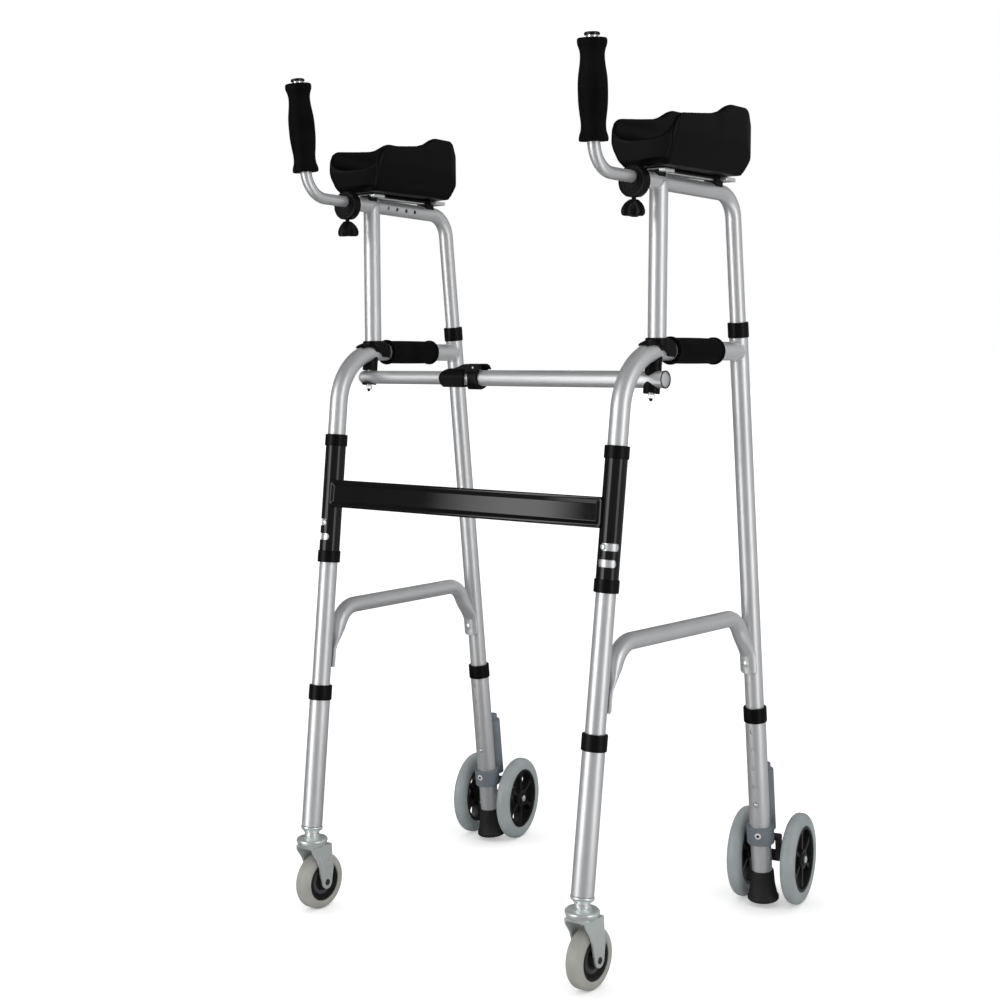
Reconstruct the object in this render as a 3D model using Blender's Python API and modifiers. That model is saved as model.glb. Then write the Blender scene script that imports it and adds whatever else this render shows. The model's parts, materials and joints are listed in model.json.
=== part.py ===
# A walker with forearm supports: two tubular side frames turn about the sleeves of a front brace,
# and a telescopic bar with a flip lock holds them apart. Castors in front, sprung brake wheels behind.
# Sizes are in metres and angles in degrees. Side frame sizes are n outward, s rearward and z up.

import functools
import math

import bmesh
import bpy
from mathutils import Matrix, Vector

COLLECTION_NAME = "forearm_walker"

# Fits
GAP = 0.0003
SLIDING_FIT = 0.00045
RUNNING_FIT = 0.0006
TUBE_WALL = 0.0014
CUT_PAST = 0.010
EDGE = 0.0015

# Facets
WELD = 0.000001
TUBE_SIDES = 16
TURNED_STEPS = 16
WHEEL_STEPS = 20
HOLE_SIDES = 8
BRACE_SIDES = 12
BEND_STEPS = 6

# Stance of a side frame
HALF_WIDTH = 0.2306
OUTWARD_LEAN = 0.86
TOE_OUT = 2.2
REAR_UNIT_TURN = 11.0

# Main tube: front leg, bend and handrail
MAIN_TUBE_DIAMETER = 0.0254
FRONT_RAKE = 6.28
FRONT_FOOT_HEIGHT = 0.117
FRONT_LEG_END_HEIGHT = 0.150
HANDRAIL_HEIGHT = 0.7785
MAIN_BEND_RADIUS = 0.082

# Rear leg
REAR_LEG_DIAMETER = 0.0254
REAR_RAKE = 6.0
REAR_LEG_DISTANCE = 0.3345
REAR_LEG_TOP_RISE = 0.0395
REAR_LEG_TOP_HEIGHT = HANDRAIL_HEIGHT + REAR_LEG_TOP_RISE
REAR_LEG_END_HEIGHT = 0.118
REAR_COLLAR_DIAMETER = 0.0286
REAR_COLLAR_HEIGHT = 0.021

# Front brace: sleeves, collars, slots and crossbar
SLEEVE_DIAMETER = 0.0286
SLEEVE_BORE = 0.0266
SLEEVE_TOP_HEIGHT = 0.660
SLEEVE_BOTTOM_HEIGHT = 0.4805
SLEEVE_COLLAR_DIAMETER = 0.0318
SLEEVE_COLLAR_LENGTH = 0.016
SLOT_HEIGHT = 0.0094
UPPER_SLOT_HEIGHT = 0.536
LOWER_SLOT_HEIGHT = 0.516
UPPER_SLOT_START = -18.0
LOWER_SLOT_START = -36.0
SLOT_SWEEP = 122.0
STOP_STUD_DIAMETER = 0.0074
STOP_STUD_REACH = 0.0026
CROSSBAR_HEIGHT = 0.0385
CROSSBAR_CENTRE_HEIGHT = 0.577
CROSSBAR_DEPTH = 0.0145
CROSSBAR_END_INSET = 0.006
CROSSBAR_RIM = 0.0042
CROSSBAR_RECESS = 0.0022
CROSSBAR_WALL = 0.0026

# Lower brace of a side frame
BRACE_DIAMETER = 0.0222
BRACE_END_CLEARANCE = 0.0228
BRACE_HEIGHT = 0.4142
BRACE_BEND_RADIUS = 0.036
BRACE_SPLAY = 0.022
BRACE_SADDLE_LENGTH = 0.028
BRACE_SADDLE_THICKNESS = 0.0062
BRACE_SADDLE_WIDTH = 0.028
RIVET_DIAMETER = 0.009
RIVET_HEAD = 0.0022

# Handrail foam grip
RAIL_GRIP_START = 0.169
RAIL_GRIP_LENGTH = 0.1040
RAIL_GRIP_DIAMETER = 0.0342
RAIL_GRIP_FLANGE_DIAMETER = 0.0368
RAIL_GRIP_FLANGE = 0.005

# Forearm support frame
POST_DIAMETER = 0.0240
POST_DISTANCE = 0.141
POST_FOOT_RISE = 0.0155
POST_FOOT_HEIGHT = HANDRAIL_HEIGHT + POST_FOOT_RISE
ARM_TUBE_DIAMETER = 0.0215
ARM_TUBE_FRONT = 0.091
ARM_TUBE_FRONT_HEIGHT = 0.9946
ARM_TUBE_FALL = 1.08
ARM_TUBE_BEND_RADIUS = 0.036
ARM_TUBE_END_DROP = 0.0035
ARM_TUBE_END_HEIGHT = HANDRAIL_HEIGHT - ARM_TUBE_END_DROP
SADDLE_FRONT = 0.116
SADDLE_WALL = 0.0036
SADDLE_BOSS_DIAMETER = 0.0300
SADDLE_BOSS_RISE = 0.003

# Forearm pad
PAD_FRONT = 0.100
PAD_LENGTH = 0.188
PAD_BOTTOM_RISE = 0.0156
PAD_BOTTOM_HEIGHT = ARM_TUBE_FRONT_HEIGHT + PAD_BOTTOM_RISE
PAD_BOTTOM_HALF_WIDTH = 0.033
PAD_HALF_WIDTH = 0.053
PAD_WALL = 0.012
PAD_FRONT_DEPTH = 0.0608
PAD_MIDDLE_DEPTH = 0.0668
PAD_REAR_DEPTH = 0.0868
PAD_TROUGH_DEPTH = 0.0318
PAD_FRONT_TOP_HEIGHT = PAD_BOTTOM_HEIGHT + PAD_FRONT_DEPTH
PAD_MIDDLE_TOP_HEIGHT = PAD_BOTTOM_HEIGHT + PAD_MIDDLE_DEPTH
PAD_REAR_TOP_HEIGHT = PAD_BOTTOM_HEIGHT + PAD_REAR_DEPTH
PAD_TROUGH_HEIGHT = PAD_BOTTOM_HEIGHT + PAD_TROUGH_DEPTH
PLATE_WIDTH = 0.036
PLATE_THICKNESS = 0.0028
PLATE_FRONT = 0.1270
PLATE_LENGTH = 0.160
PLATE_TAB_LENGTH = 0.022
PLATE_WAIST_HALF_WIDTH = 0.006
PLATE_FOOT_LENGTH = 0.014
PLATE_FOOT_WIDTH = 0.018

# Grip rod, hand grip and clamp
ROD_DIAMETER = 0.0159
ROD_BEND_RADIUS = 0.032
ROD_CORNER = 0.006
ROD_INSERT = 0.172
GRIP_START_RISE = 0.0354
GRIP_START_HEIGHT = ARM_TUBE_FRONT_HEIGHT + GRIP_START_RISE
GRIP_LENGTH = 0.1230
GRIP_FORWARD_LEAN = 4.8
GRIP_OUTWARD_LEAN = 1.7
GRIP_BELLY_DIAMETER = 0.0368
GRIP_NECK_DIAMETER = 0.0304
GRIP_CAP_DIAMETER = 0.0194
GRIP_CAP_NECK_DIAMETER = 0.0150
GRIP_CAP_RISE = 0.008
GRIP_CAP_DISC = 0.0045
GRIP_CAP_CHAMFER = 0.0012
CLAMP_DIAMETER = 0.0415
CLAMP_LENGTH = 0.0135
CLAMP_DROP = 0.0052
CLAMP_FLAT = 0.0012
CLAMP_SEAT = 0.004
KNOB_DIAMETER = 0.034
KNOB_HEIGHT = 0.0205
KNOB_LOBES = 3
KNOB_STEM_DIAMETER = 0.006
KNOB_STEM_LENGTH = 0.0035

# Telescopic bar and its pivots
BAR_DROP = 0.037
BAR_HEIGHT = HANDRAIL_HEIGHT - BAR_DROP
PIVOT_DISTANCE = 0.1320
THIN_BAR_DIAMETER = 0.01905
THICK_BAR_DIAMETER = 0.0222
THIN_BAR_OVERHANG = 0.018
THICK_BAR_OVERHANG = 0.0205
THICK_BAR_MOUTH = -0.050
BAR_ENGAGEMENT = 0.062
BAR_CAP_DIAMETER = 0.0232
BAR_CAP_LENGTH = 0.008
BOLT_DIAMETER = 0.008
BOLT_RISE = 0.0265
NUT_WIDTH = 0.013
NUT_HEIGHT = 0.0075
SPACER_DIAMETER = 0.0216
SADDLE_WASHER_DIAMETER = 0.0216
SADDLE_WASHER_RISE = 0.0180
SADDLE_WASHER_DROP = 0.0170
SADDLE_WASHER_LIP = 0.003

# Flip lock of the bar
LOCK_COLLAR_LEFT = -0.057
LOCK_COLLAR_LENGTH = 0.033
LOCK_COLLAR_DIAMETER = 0.0320
LOCK_PIN_X = -0.0396
LOCK_PIN_RISE = 0.0147
LOCK_PIN_DIAMETER = 0.0030
LOCK_CHEEK_HALF_WIDTH = 0.0125
LOCK_KNUCKLE_HALF_WIDTH = 0.0075
LOCK_KNUCKLE_DIAMETER = 0.0064
LEVER_LEFT = -0.101
LEVER_SHELL_LENGTH = 0.040
LEVER_SHELL_WALL = 0.0032
LEVER_SHELL_WRAP = 100.0

# Telescopic leg extensions
EXTENSION_DIAMETER = 0.0286
EXTENSION_COLLAR_DIAMETER = 0.0324
EXTENSION_COLLAR_LENGTH = 0.0208
FRONT_EXTENSION_TOP_HEIGHT = 0.3102
BRACE_END_HEIGHT = FRONT_EXTENSION_TOP_HEIGHT + BRACE_END_CLEARANCE
REAR_EXTENSION_TOP_HEIGHT = 0.2835
HOLE_COUNT = 5
HOLE_PITCH = 0.026
HOLE_DIAMETER = 0.0076
FRONT_BUTTON_HEIGHT = 0.170
REAR_BUTTON_HEIGHT = 0.1475
BUTTON_DIAMETER = 0.0066
BUTTON_PROUD = 0.0016
BUTTON_NOTCH_LENGTH = 0.045
BUTTON_LEAF_THICKNESS = 0.0010
BUTTON_LEAF_LENGTH = 0.024
BUTTON_LEAF_WIDTH = 0.0076

# Castor
CASTOR_PLUG_LENGTH = 0.018
CASTOR_NECK_DIAMETER = 0.020
CASTOR_LIP = 0.0008
CASTOR_LIP_HEIGHT = 0.004
CASTOR_PLATE_DIAMETER = 0.0430
CASTOR_PLATE_HEIGHT = 0.0965
CASTOR_PLATE_THICKNESS = 0.0062
CASTOR_RACE_DIAMETER = 0.0370
CASTOR_RACE_HEIGHT = 0.0055
CASTOR_TRAIL = 0.014
CASTOR_WHEEL_DIAMETER = 0.076
CASTOR_WHEEL_WIDTH = 0.024
CASTOR_HUB_DIAMETER = 0.052
CASTOR_BOSS_DIAMETER = 0.018
CASTOR_WEB = 0.012
CASTOR_SHOULDER = 0.004
FORK_GAP = 0.0276
FORK_THICKNESS = 0.0026
FORK_CROWN_WIDTH = 0.034
FORK_EYE_DIAMETER = 0.018
CASTOR_AXLE_DIAMETER = 0.008
CASTOR_AXLE_HEAD_DIAMETER = 0.013
CASTOR_AXLE_HEAD = 0.0022

# Rear brake wheel unit
TIP_TOP_DIAMETER = 0.0330
TIP_BOTTOM_DIAMETER = 0.0440
TIP_HEIGHT = 0.042
TIP_CLEARANCE = 0.0085
TIP_SOLE = 0.008
REAR_WHEEL_DIAMETER = 0.125
REAR_TYRE_WIDTH = 0.020
REAR_HUB_DIAMETER = 0.090
REAR_SHOULDER = 0.003
REAR_WHEEL_SPACING = 0.077
REAR_AXLE_DISTANCE = 0.0285
REAR_AXLE_OUT = 0.004
REAR_AXLE_BACK = 0.005
REAR_AXLE_DIAMETER = 0.010
SPOKE_COUNT = 6
SPOKE_WIDTH = 0.010
WEB_THICKNESS = 0.005
HUB_BOSS_DIAMETER = 0.028
BAND_DIAMETER = 0.0384
BAND_BOTTOM_HEIGHT = 0.0895
BAND_HEIGHT = 0.0245
HOUSING_DIAMETER = 0.0256
HOUSING_BOTTOM_HEIGHT = 0.099
HOUSING_TOP_HEIGHT = 0.186
HOUSING_CAP_DIAMETER = 0.018
HOUSING_CAP_HEIGHT = 0.008
PLUNGER_DIAMETER = 0.011
PLUNGER_INSERT = 0.052
BRAKE_TRAVEL = 0.007
YOKE_HALF_WIDTH = 0.020
YOKE_THICKNESS = 0.0065
YOKE_DEPTH = 0.015
AXLE_BARREL_DIAMETER = 0.016
AXLE_END = 0.0025

MIRROR = Matrix.Scale(-1, 4, Vector((1, 0, 0)))


# Stance and axes

def turn(angle, axis):
    return Matrix.Rotation(math.radians(angle), 4, axis)


def move(n, s, z):
    return Matrix.Translation((n, s, z))


SIDE_FRAME = move(HALF_WIDTH, 0, 0) @ turn(-TOE_OUT, "Z") @ turn(OUTWARD_LEAN, "Y")
FRONT_AXIS = move(0, 0, FRONT_FOOT_HEIGHT) @ turn(-FRONT_RAKE, "X")
REAR_AXIS = move(0, REAR_LEG_DISTANCE, HANDRAIL_HEIGHT) @ turn(REAR_RAKE, "X")
PIVOT_AXIS = move(0, PIVOT_DISTANCE, BAR_HEIGHT) @ turn(-FRONT_RAKE, "X")


def front_leg_s(height):
    return (height - FRONT_FOOT_HEIGHT) * math.tan(math.radians(FRONT_RAKE))


def rear_leg_s(height):
    return REAR_LEG_DISTANCE + (HANDRAIL_HEIGHT - height) * math.tan(math.radians(REAR_RAKE))


def along_front(height):
    """Distance up the front leg's axis from its foot, at a height."""
    return (height - FRONT_FOOT_HEIGHT) / math.cos(math.radians(FRONT_RAKE))


def along_rear(height):
    """Distance up the rear leg's axis from the handrail, at a height."""
    return (height - HANDRAIL_HEIGHT) / math.cos(math.radians(REAR_RAKE))


def arm_tube_z(s):
    return ARM_TUBE_FRONT_HEIGHT - (s - ARM_TUBE_FRONT) * math.tan(math.radians(ARM_TUBE_FALL))


ARM_TUBE_AXIS = move(0, ARM_TUBE_FRONT, ARM_TUBE_FRONT_HEIGHT) @ turn(-90 - ARM_TUBE_FALL, "X")


# Mesh tools

def work_object(data):
    obj = bpy.data.objects.new("work", data)
    bpy.context.scene.collection.objects.link(obj)
    return obj


def evaluated(obj):
    """The mesh that an object's modifiers or bevel make, with its seams welded."""
    bpy.context.view_layer.update()
    depsgraph = bpy.context.evaluated_depsgraph_get()
    mesh = bpy.data.meshes.new_from_object(obj.evaluated_get(depsgraph), depsgraph=depsgraph)
    bm = bmesh.new()
    bm.from_mesh(mesh)
    bmesh.ops.remove_doubles(bm, verts=bm.verts, dist=WELD)
    bmesh.ops.dissolve_degenerate(bm, edges=bm.edges, dist=WELD)
    bm.to_mesh(mesh)
    bm.free()
    bpy.data.objects.remove(obj)
    return mesh


def moved(mesh, matrix):
    copy = mesh.copy()
    copy.transform(matrix)
    return copy


def combined(base, tools, operation):
    obj = work_object(base)
    helpers = [work_object(tool) for tool in tools]
    for helper in helpers:
        modifier = obj.modifiers.new(operation.lower(), "BOOLEAN")
        modifier.operation = operation
        modifier.object = helper
    mesh = evaluated(obj)
    for helper in helpers:
        bpy.data.objects.remove(helper)
    return mesh


def cut(base, *tools):
    return combined(base, tools, "DIFFERENCE")


def joined(base, *tools):
    return combined(base, tools, "UNION")


def common(base, tool):
    return combined(base, [tool], "INTERSECT")


def turned(profile, steps=TURNED_STEPS):
    """A profile of (radius, height) points, top to bottom on its outer side, turned about Z."""
    mesh = bpy.data.meshes.new("profile")
    count = len(profile)
    ring = profile[0][0] > 0
    edges = [(i, (i + 1) % count) for i in range(count if ring else count - 1)]
    mesh.from_pydata([(radius, 0, height) for radius, height in profile], edges, [])
    obj = work_object(mesh)
    screw = obj.modifiers.new("turn", "SCREW")
    screw.steps = steps
    screw.render_steps = steps
    screw.use_merge_vertices = True
    screw.merge_threshold = 0.00001
    return evaluated(obj)


def cylinder(diameter, bottom, top, steps=TURNED_STEPS):
    radius = diameter / 2
    return turned([(0, top), (radius, top), (radius, bottom), (0, bottom)], steps)


def stepped(wide, narrow, bottom, step, top):
    """A bar that is wide above a step and narrow below it."""
    outer, inner = wide / 2, narrow / 2
    return turned([(0, top), (outer, top), (outer, step), (inner, step), (inner, bottom), (0, bottom)])


def pipe(diameter, bore, bottom, top, steps=TURNED_STEPS):
    outer, inner = diameter / 2, bore / 2
    return turned([(inner, top), (outer, top), (outer, bottom), (inner, bottom)], steps)


def block(size, centre, bevel=0.0, segments=2):
    mesh = bpy.data.meshes.new("block")
    bm = bmesh.new()
    bmesh.ops.create_cube(bm, size=1.0, matrix=Matrix.Translation(centre) @ Matrix.Diagonal((*size, 1)))
    if bevel:
        bmesh.ops.bevel(bm, geom=bm.edges[:], offset=bevel, segments=segments, affect="EDGES", profile=0.5)
    bm.to_mesh(mesh)
    bm.free()
    return mesh


def plate(outline, thickness):
    """A flat outline in XY, thickened evenly to both sides."""
    curve = bpy.data.curves.new("outline", "CURVE")
    curve.dimensions = "2D"
    curve.fill_mode = "BOTH"
    curve.extrude = thickness / 2
    spline = curve.splines.new("POLY")
    spline.points.add(len(outline) - 1)
    for point, (x, y) in zip(spline.points, outline):
        point.co = (x, y, 0, 1)
    spline.use_cyclic_u = True
    return evaluated(work_object(curve))


def arc(centre, radius, start, end, steps):
    angles = [math.radians(start + (end - start) * i / steps) for i in range(steps + 1)]
    return [(centre[0] + radius * math.cos(a), centre[1] + radius * math.sin(a)) for a in angles]


def rounded_route(corners, radius, steps=BEND_STEPS):
    """A route through corner points, with an arc of one radius at each inner corner."""
    points = [Vector(corners[0])]
    for before, corner, after in zip(corners, corners[1:], corners[2:]):
        corner = Vector(corner)
        back = (Vector(before) - corner).normalized()
        ahead = (Vector(after) - corner).normalized()
        half = back.angle(ahead) / 2
        centre = corner + (back + ahead).normalized() * radius / math.sin(half)
        first = corner + back * radius / math.tan(half) - centre
        axis = first.cross(corner + ahead * radius / math.tan(half) - centre).normalized()
        sweep = math.pi - 2 * half
        points += [centre + Matrix.Rotation(sweep * i / steps, 3, axis) @ first for i in range(steps + 1)]
    points.append(Vector(corners[-1]))
    return points


def swept(route, diameter, sides=TUBE_SIDES):
    """A round bar along a route."""
    curve = bpy.data.curves.new("route", "CURVE")
    curve.dimensions = "3D"
    curve.bevel_depth = diameter / 2
    curve.bevel_resolution = sides // 4 - 1
    curve.use_fill_caps = True
    spline = curve.splines.new("POLY")
    spline.points.add(len(route) - 1)
    for point, place in zip(spline.points, route):
        point.co = (*place, 1)
    mesh = evaluated(work_object(curve))
    return facing_out(mesh)


def facing_out(mesh):
    bm = bmesh.new()
    bm.from_mesh(mesh)
    bmesh.ops.recalc_face_normals(bm, faces=bm.faces)
    bm.to_mesh(mesh)
    bm.free()
    return mesh


def lofted(rings):
    """A closed body through rings of the same number of points, with its two ends capped."""
    mesh = bpy.data.meshes.new("loft")
    bm = bmesh.new()
    loops = [[bm.verts.new(point) for point in ring] for ring in rings]
    for near, far in zip(loops, loops[1:]):
        for i in range(len(near)):
            j = (i + 1) % len(near)
            bm.faces.new((near[i], near[j], far[j], far[i]))
    bm.faces.new(loops[0])
    bm.faces.new(loops[-1])
    bmesh.ops.recalc_face_normals(bm, faces=bm.faces)
    bm.to_mesh(mesh)
    bm.free()
    return mesh


def mirrored(mesh):
    """The right half of a body and its mirror image, joined at the middle."""
    obj = work_object(mesh)
    mirror = obj.modifiers.new("mirror", "MIRROR")
    mirror.use_axis = (True, False, False)
    mirror.use_bisect_axis = (True, False, False)
    mirror.use_clip = True
    return evaluated(obj)


def softened(mesh, levels=1):
    obj = work_object(mesh)
    subdivision = obj.modifiers.new("soften", "SUBSURF")
    subdivision.levels = levels
    subdivision.render_levels = levels
    return evaluated(obj)


# Materials

def material(name, colour, roughness, metallic=0.0):
    made = bpy.data.materials.new(name)
    made.use_nodes = True
    shader = made.node_tree.nodes["Principled BSDF"]
    shader.inputs["Base Color"].default_value = (*colour, 1)
    shader.inputs["Roughness"].default_value = roughness
    shader.inputs["Metallic"].default_value = metallic
    made.diffuse_color = (*colour, 1)
    return made


def make_materials():
    return {
        "aluminium": material("aluminium", (0.78, 0.79, 0.80), 0.28, 1.0),
        "zinc": material("zinc", (0.70, 0.71, 0.72), 0.22, 1.0),
        "gloss_black": material("gloss_black", (0.012, 0.012, 0.013), 0.16),
        "black_plastic": material("black_plastic", (0.018, 0.018, 0.019), 0.45),
        "foam": material("foam", (0.010, 0.010, 0.011), 0.85),
        "pad": material("pad", (0.014, 0.014, 0.015), 0.5),
        "rubber": material("rubber", (0.013, 0.013, 0.013), 0.7),
        "rear_tyre": material("rear_tyre", (0.33, 0.37, 0.38), 0.6),
        "castor_tyre": material("castor_tyre", (0.31, 0.31, 0.29), 0.6),
        "blue_grey": material("blue_grey", (0.15, 0.18, 0.20), 0.5),
        "dark_steel": material("dark_steel", (0.09, 0.09, 0.10), 0.4, 0.6),
    }


# Front brace

def sleeve():
    """One sleeve with its two collars, in the front leg's axis."""
    top, bottom = along_front(SLEEVE_TOP_HEIGHT), along_front(SLEEVE_BOTTOM_HEIGHT)
    bore, outer, collar = SLEEVE_BORE / 2, SLEEVE_DIAMETER / 2, SLEEVE_COLLAR_DIAMETER / 2
    return turned([
        (bore, top), (collar, top), (collar, top - SLEEVE_COLLAR_LENGTH), (outer, top - SLEEVE_COLLAR_LENGTH),
        (outer, bottom + SLEEVE_COLLAR_LENGTH), (collar, bottom + SLEEVE_COLLAR_LENGTH), (collar, bottom),
        (bore, bottom),
    ])


def slot_cutter(height, start):
    """A slot round the front of a sleeve, from a start angle and outward."""
    inner, outer = SLEEVE_BORE / 2 - EDGE, SLEEVE_DIAMETER / 2 + EDGE
    first, last = start - 90, start - 90 + SLOT_SWEEP
    sector = arc((0, 0), outer, first, last, 5) + arc((0, 0), inner, last, first, 5)
    return moved(facing_out(plate(sector, SLOT_HEIGHT)), move(0, 0, along_front(height)))


def crossbar_place():
    return move(0, front_leg_s(CROSSBAR_CENTRE_HEIGHT), CROSSBAR_CENTRE_HEIGHT) @ turn(-FRONT_RAKE, "X")


def crossbar():
    """A channel open to the rear, with a shallow recess along its face."""
    lean = math.tan(math.radians(OUTWARD_LEAN)) * CROSSBAR_CENTRE_HEIGHT
    toe = math.tan(math.radians(TOE_OUT)) * front_leg_s(CROSSBAR_CENTRE_HEIGHT)
    half = HALF_WIDTH + lean + toe - CROSSBAR_END_INSET
    front = -SLEEVE_DIAMETER / 2 - 0.0012
    body = block((2 * half, CROSSBAR_DEPTH, CROSSBAR_HEIGHT), (0, front + CROSSBAR_DEPTH / 2, 0), 0.0025, 1)
    recess = block(
        (2 * (half - CROSSBAR_RIM), 2 * CROSSBAR_RECESS, CROSSBAR_HEIGHT - 2 * CROSSBAR_RIM),
        (0, front, 0), CROSSBAR_RECESS * 0.9, 1,
    )
    hollow_half = half - SLEEVE_DIAMETER / 2 - CROSSBAR_END_INSET
    hollow_depth = CROSSBAR_DEPTH - CROSSBAR_RECESS - CROSSBAR_WALL
    hollow = block(
        (2 * hollow_half, 2 * hollow_depth, CROSSBAR_HEIGHT - 2 * CROSSBAR_WALL),
        (0, front + CROSSBAR_DEPTH, 0),
    )
    return moved(cut(body, recess, hollow), crossbar_place())


@functools.cache
def front_brace():
    """Both sleeves, their slots and the crossbar, as one weldment."""
    place = SIDE_FRAME @ FRONT_AXIS
    low, high = along_front(SLEEVE_BOTTOM_HEIGHT) - CUT_PAST, along_front(SLEEVE_TOP_HEIGHT) + CUT_PAST
    cutters = [cylinder(SLEEVE_BORE, low, high)]
    for height, start in ((UPPER_SLOT_HEIGHT, UPPER_SLOT_START), (LOWER_SLOT_HEIGHT, LOWER_SLOT_START)):
        cutters.append(slot_cutter(height, start))
    brace = joined(crossbar(), moved(sleeve(), place))
    return mirrored(cut(brace, *[moved(cutter, place) for cutter in cutters]))


# Side frame

@functools.cache
def main_tube():
    corner = (0, front_leg_s(HANDRAIL_HEIGHT), HANDRAIL_HEIGHT)
    low = (0, front_leg_s(FRONT_LEG_END_HEIGHT), FRONT_LEG_END_HEIGHT)
    end = (0, REAR_LEG_DISTANCE, HANDRAIL_HEIGHT)
    route = rounded_route([low, corner, end], MAIN_BEND_RADIUS)
    past_low = FRONT_AXIS @ Vector((0, 0, along_front(FRONT_LEG_END_HEIGHT) - CUT_PAST))
    past_end = (0, REAR_LEG_DISTANCE + 2 * CUT_PAST, HANDRAIL_HEIGHT)
    bore_route = rounded_route([past_low, corner, past_end], MAIN_BEND_RADIUS)
    tube = cut(
        swept(route, MAIN_TUBE_DIAMETER),
        swept(bore_route, MAIN_TUBE_DIAMETER - 2 * TUBE_WALL),
        moved(cylinder(REAR_LEG_DIAMETER + 2 * GAP, -4 * CUT_PAST, 4 * CUT_PAST), REAR_AXIS),
        moved(cylinder(BOLT_DIAMETER + 2 * SLIDING_FIT, 0.004, BOLT_RISE + 0.004), PIVOT_AXIS),
        moved(button_notch(), button_place(FRONT_AXIS, along_front(FRONT_BUTTON_HEIGHT), 1)),
    )
    radius = MAIN_TUBE_DIAMETER / 2
    stud = cylinder(STOP_STUD_DIAMETER, radius - TUBE_WALL, radius + STOP_STUD_REACH, 12)
    return joined(tube, moved(stud, button_place(FRONT_AXIS, along_front(UPPER_SLOT_HEIGHT), -1)))


def button_place(axis, distance, facing):
    """Z out of a leg and Y down it: facing 1 looks to the rear and -1 to the front."""
    return axis @ move(0, 0, distance) @ turn(90 * (1 - facing), "Z") @ turn(-90, "X")


def button_notch():
    """Open slot that guides a snap button down the end of a leg."""
    return block((HOLE_DIAMETER, BUTTON_NOTCH_LENGTH + HOLE_DIAMETER / 2, MAIN_TUBE_DIAMETER / 2),
                 (0, BUTTON_NOTCH_LENGTH / 2 - HOLE_DIAMETER / 4, MAIN_TUBE_DIAMETER / 2))


@functools.cache
def rear_leg():
    top, bottom = along_rear(REAR_LEG_TOP_HEIGHT), along_rear(REAR_LEG_END_HEIGHT)
    outer, collar = REAR_LEG_DIAMETER / 2, REAR_COLLAR_DIAMETER / 2
    bore = outer - TUBE_WALL
    shoulder = top - REAR_COLLAR_HEIGHT
    tube = turned([
        (bore, top), (collar, top), (collar, shoulder), (outer, shoulder), (outer, bottom), (bore, bottom),
    ])
    notch = moved(button_notch(), button_place(Matrix.Identity(4), along_rear(REAR_BUTTON_HEIGHT), -1))
    return cut(tube, notch)


def brace_section(place, flat):
    """A ring of the lower brace: round where flat is 0, a saddle round the leg where flat is 1."""
    leg_radius = MAIN_TUBE_DIAMETER / 2
    half_thick = BRACE_SADDLE_THICKNESS / 2
    middle = leg_radius + GAP + half_thick
    ring = []
    for i in range(BRACE_SIDES):
        angle = 2 * math.pi * i / BRACE_SIDES
        round_n, round_t = BRACE_DIAMETER / 2 * math.cos(angle), BRACE_DIAMETER / 2 * math.sin(angle)
        around = BRACE_SADDLE_WIDTH / 2 * math.cos(angle) / middle
        reach = middle + half_thick * math.sin(angle)
        saddle_n, saddle_t = reach * math.sin(around), reach * math.cos(around) - middle
        n = round_n + (saddle_n - round_n) * flat
        t = round_t + (saddle_t - round_t) * flat
        ring.append(place @ Vector((n, t, 0)))
    return ring


@functools.cache
def lower_brace():
    """A tube between the legs whose ends turn down and are pressed into saddles on the legs."""
    near = MAIN_TUBE_DIAMETER / 2 + GAP + BRACE_SADDLE_THICKNESS / 2
    saddle_top = BRACE_END_HEIGHT + BRACE_SADDLE_LENGTH
    ends, corners = [], []
    for leg_s, inward in ((front_leg_s, 1), (rear_leg_s, -1)):
        tip, top, corner = (
            Vector((0, leg_s(height) + inward * offset, height))
            for height, offset in (
                (BRACE_END_HEIGHT, near), (saddle_top, near), (BRACE_HEIGHT, near + BRACE_SPLAY))
        )
        ends.append([tip, top])
        corners.append(corner)
    arcs = rounded_route([ends[0][1], corners[0], corners[1], ends[1][1]], BRACE_BEND_RADIUS, 4)[1:-1]
    middles = [ends[0][1].lerp(arcs[0], 0.5), ends[1][1].lerp(arcs[-1], 0.5)]
    stations = ends[0] + [middles[0]] + arcs + [middles[1]] + ends[1][::-1]
    flats = [1, 1, 0.5] + [0] * len(arcs) + [0.5, 1, 1]
    rings = []
    for i, (point, flat) in enumerate(zip(stations, flats)):
        before, after = stations[max(i - 1, 0)], stations[min(i + 1, len(stations) - 1)]
        ahead = (after - before).normalized()
        across = Vector((1, 0, 0))
        out = ahead.cross(across)
        place = Matrix.Translation(point) @ Matrix((across, out, ahead)).transposed().to_4x4()
        rings.append(brace_section(place, flat))
    body = lofted(rings)
    rivets = []
    for tip, facing in ((ends[0], 1), (ends[1], -1)):
        axis = FRONT_AXIS if facing == 1 else REAR_AXIS
        middle = Matrix.Translation(tip[0].lerp(tip[1], 0.5))
        place = middle @ axis.to_3x3().to_4x4() @ turn(-90 * facing, "X")
        head = turned([
            (0, BRACE_SADDLE_THICKNESS / 2 + RIVET_HEAD),
            (RIVET_DIAMETER * 0.32, BRACE_SADDLE_THICKNESS / 2 + RIVET_HEAD * 0.8),
            (RIVET_DIAMETER / 2, BRACE_SADDLE_THICKNESS / 2), (RIVET_DIAMETER / 2, 0), (0, 0),
        ], 12)
        rivets.append(moved(head, place))
    return joined(body, *rivets)


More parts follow.
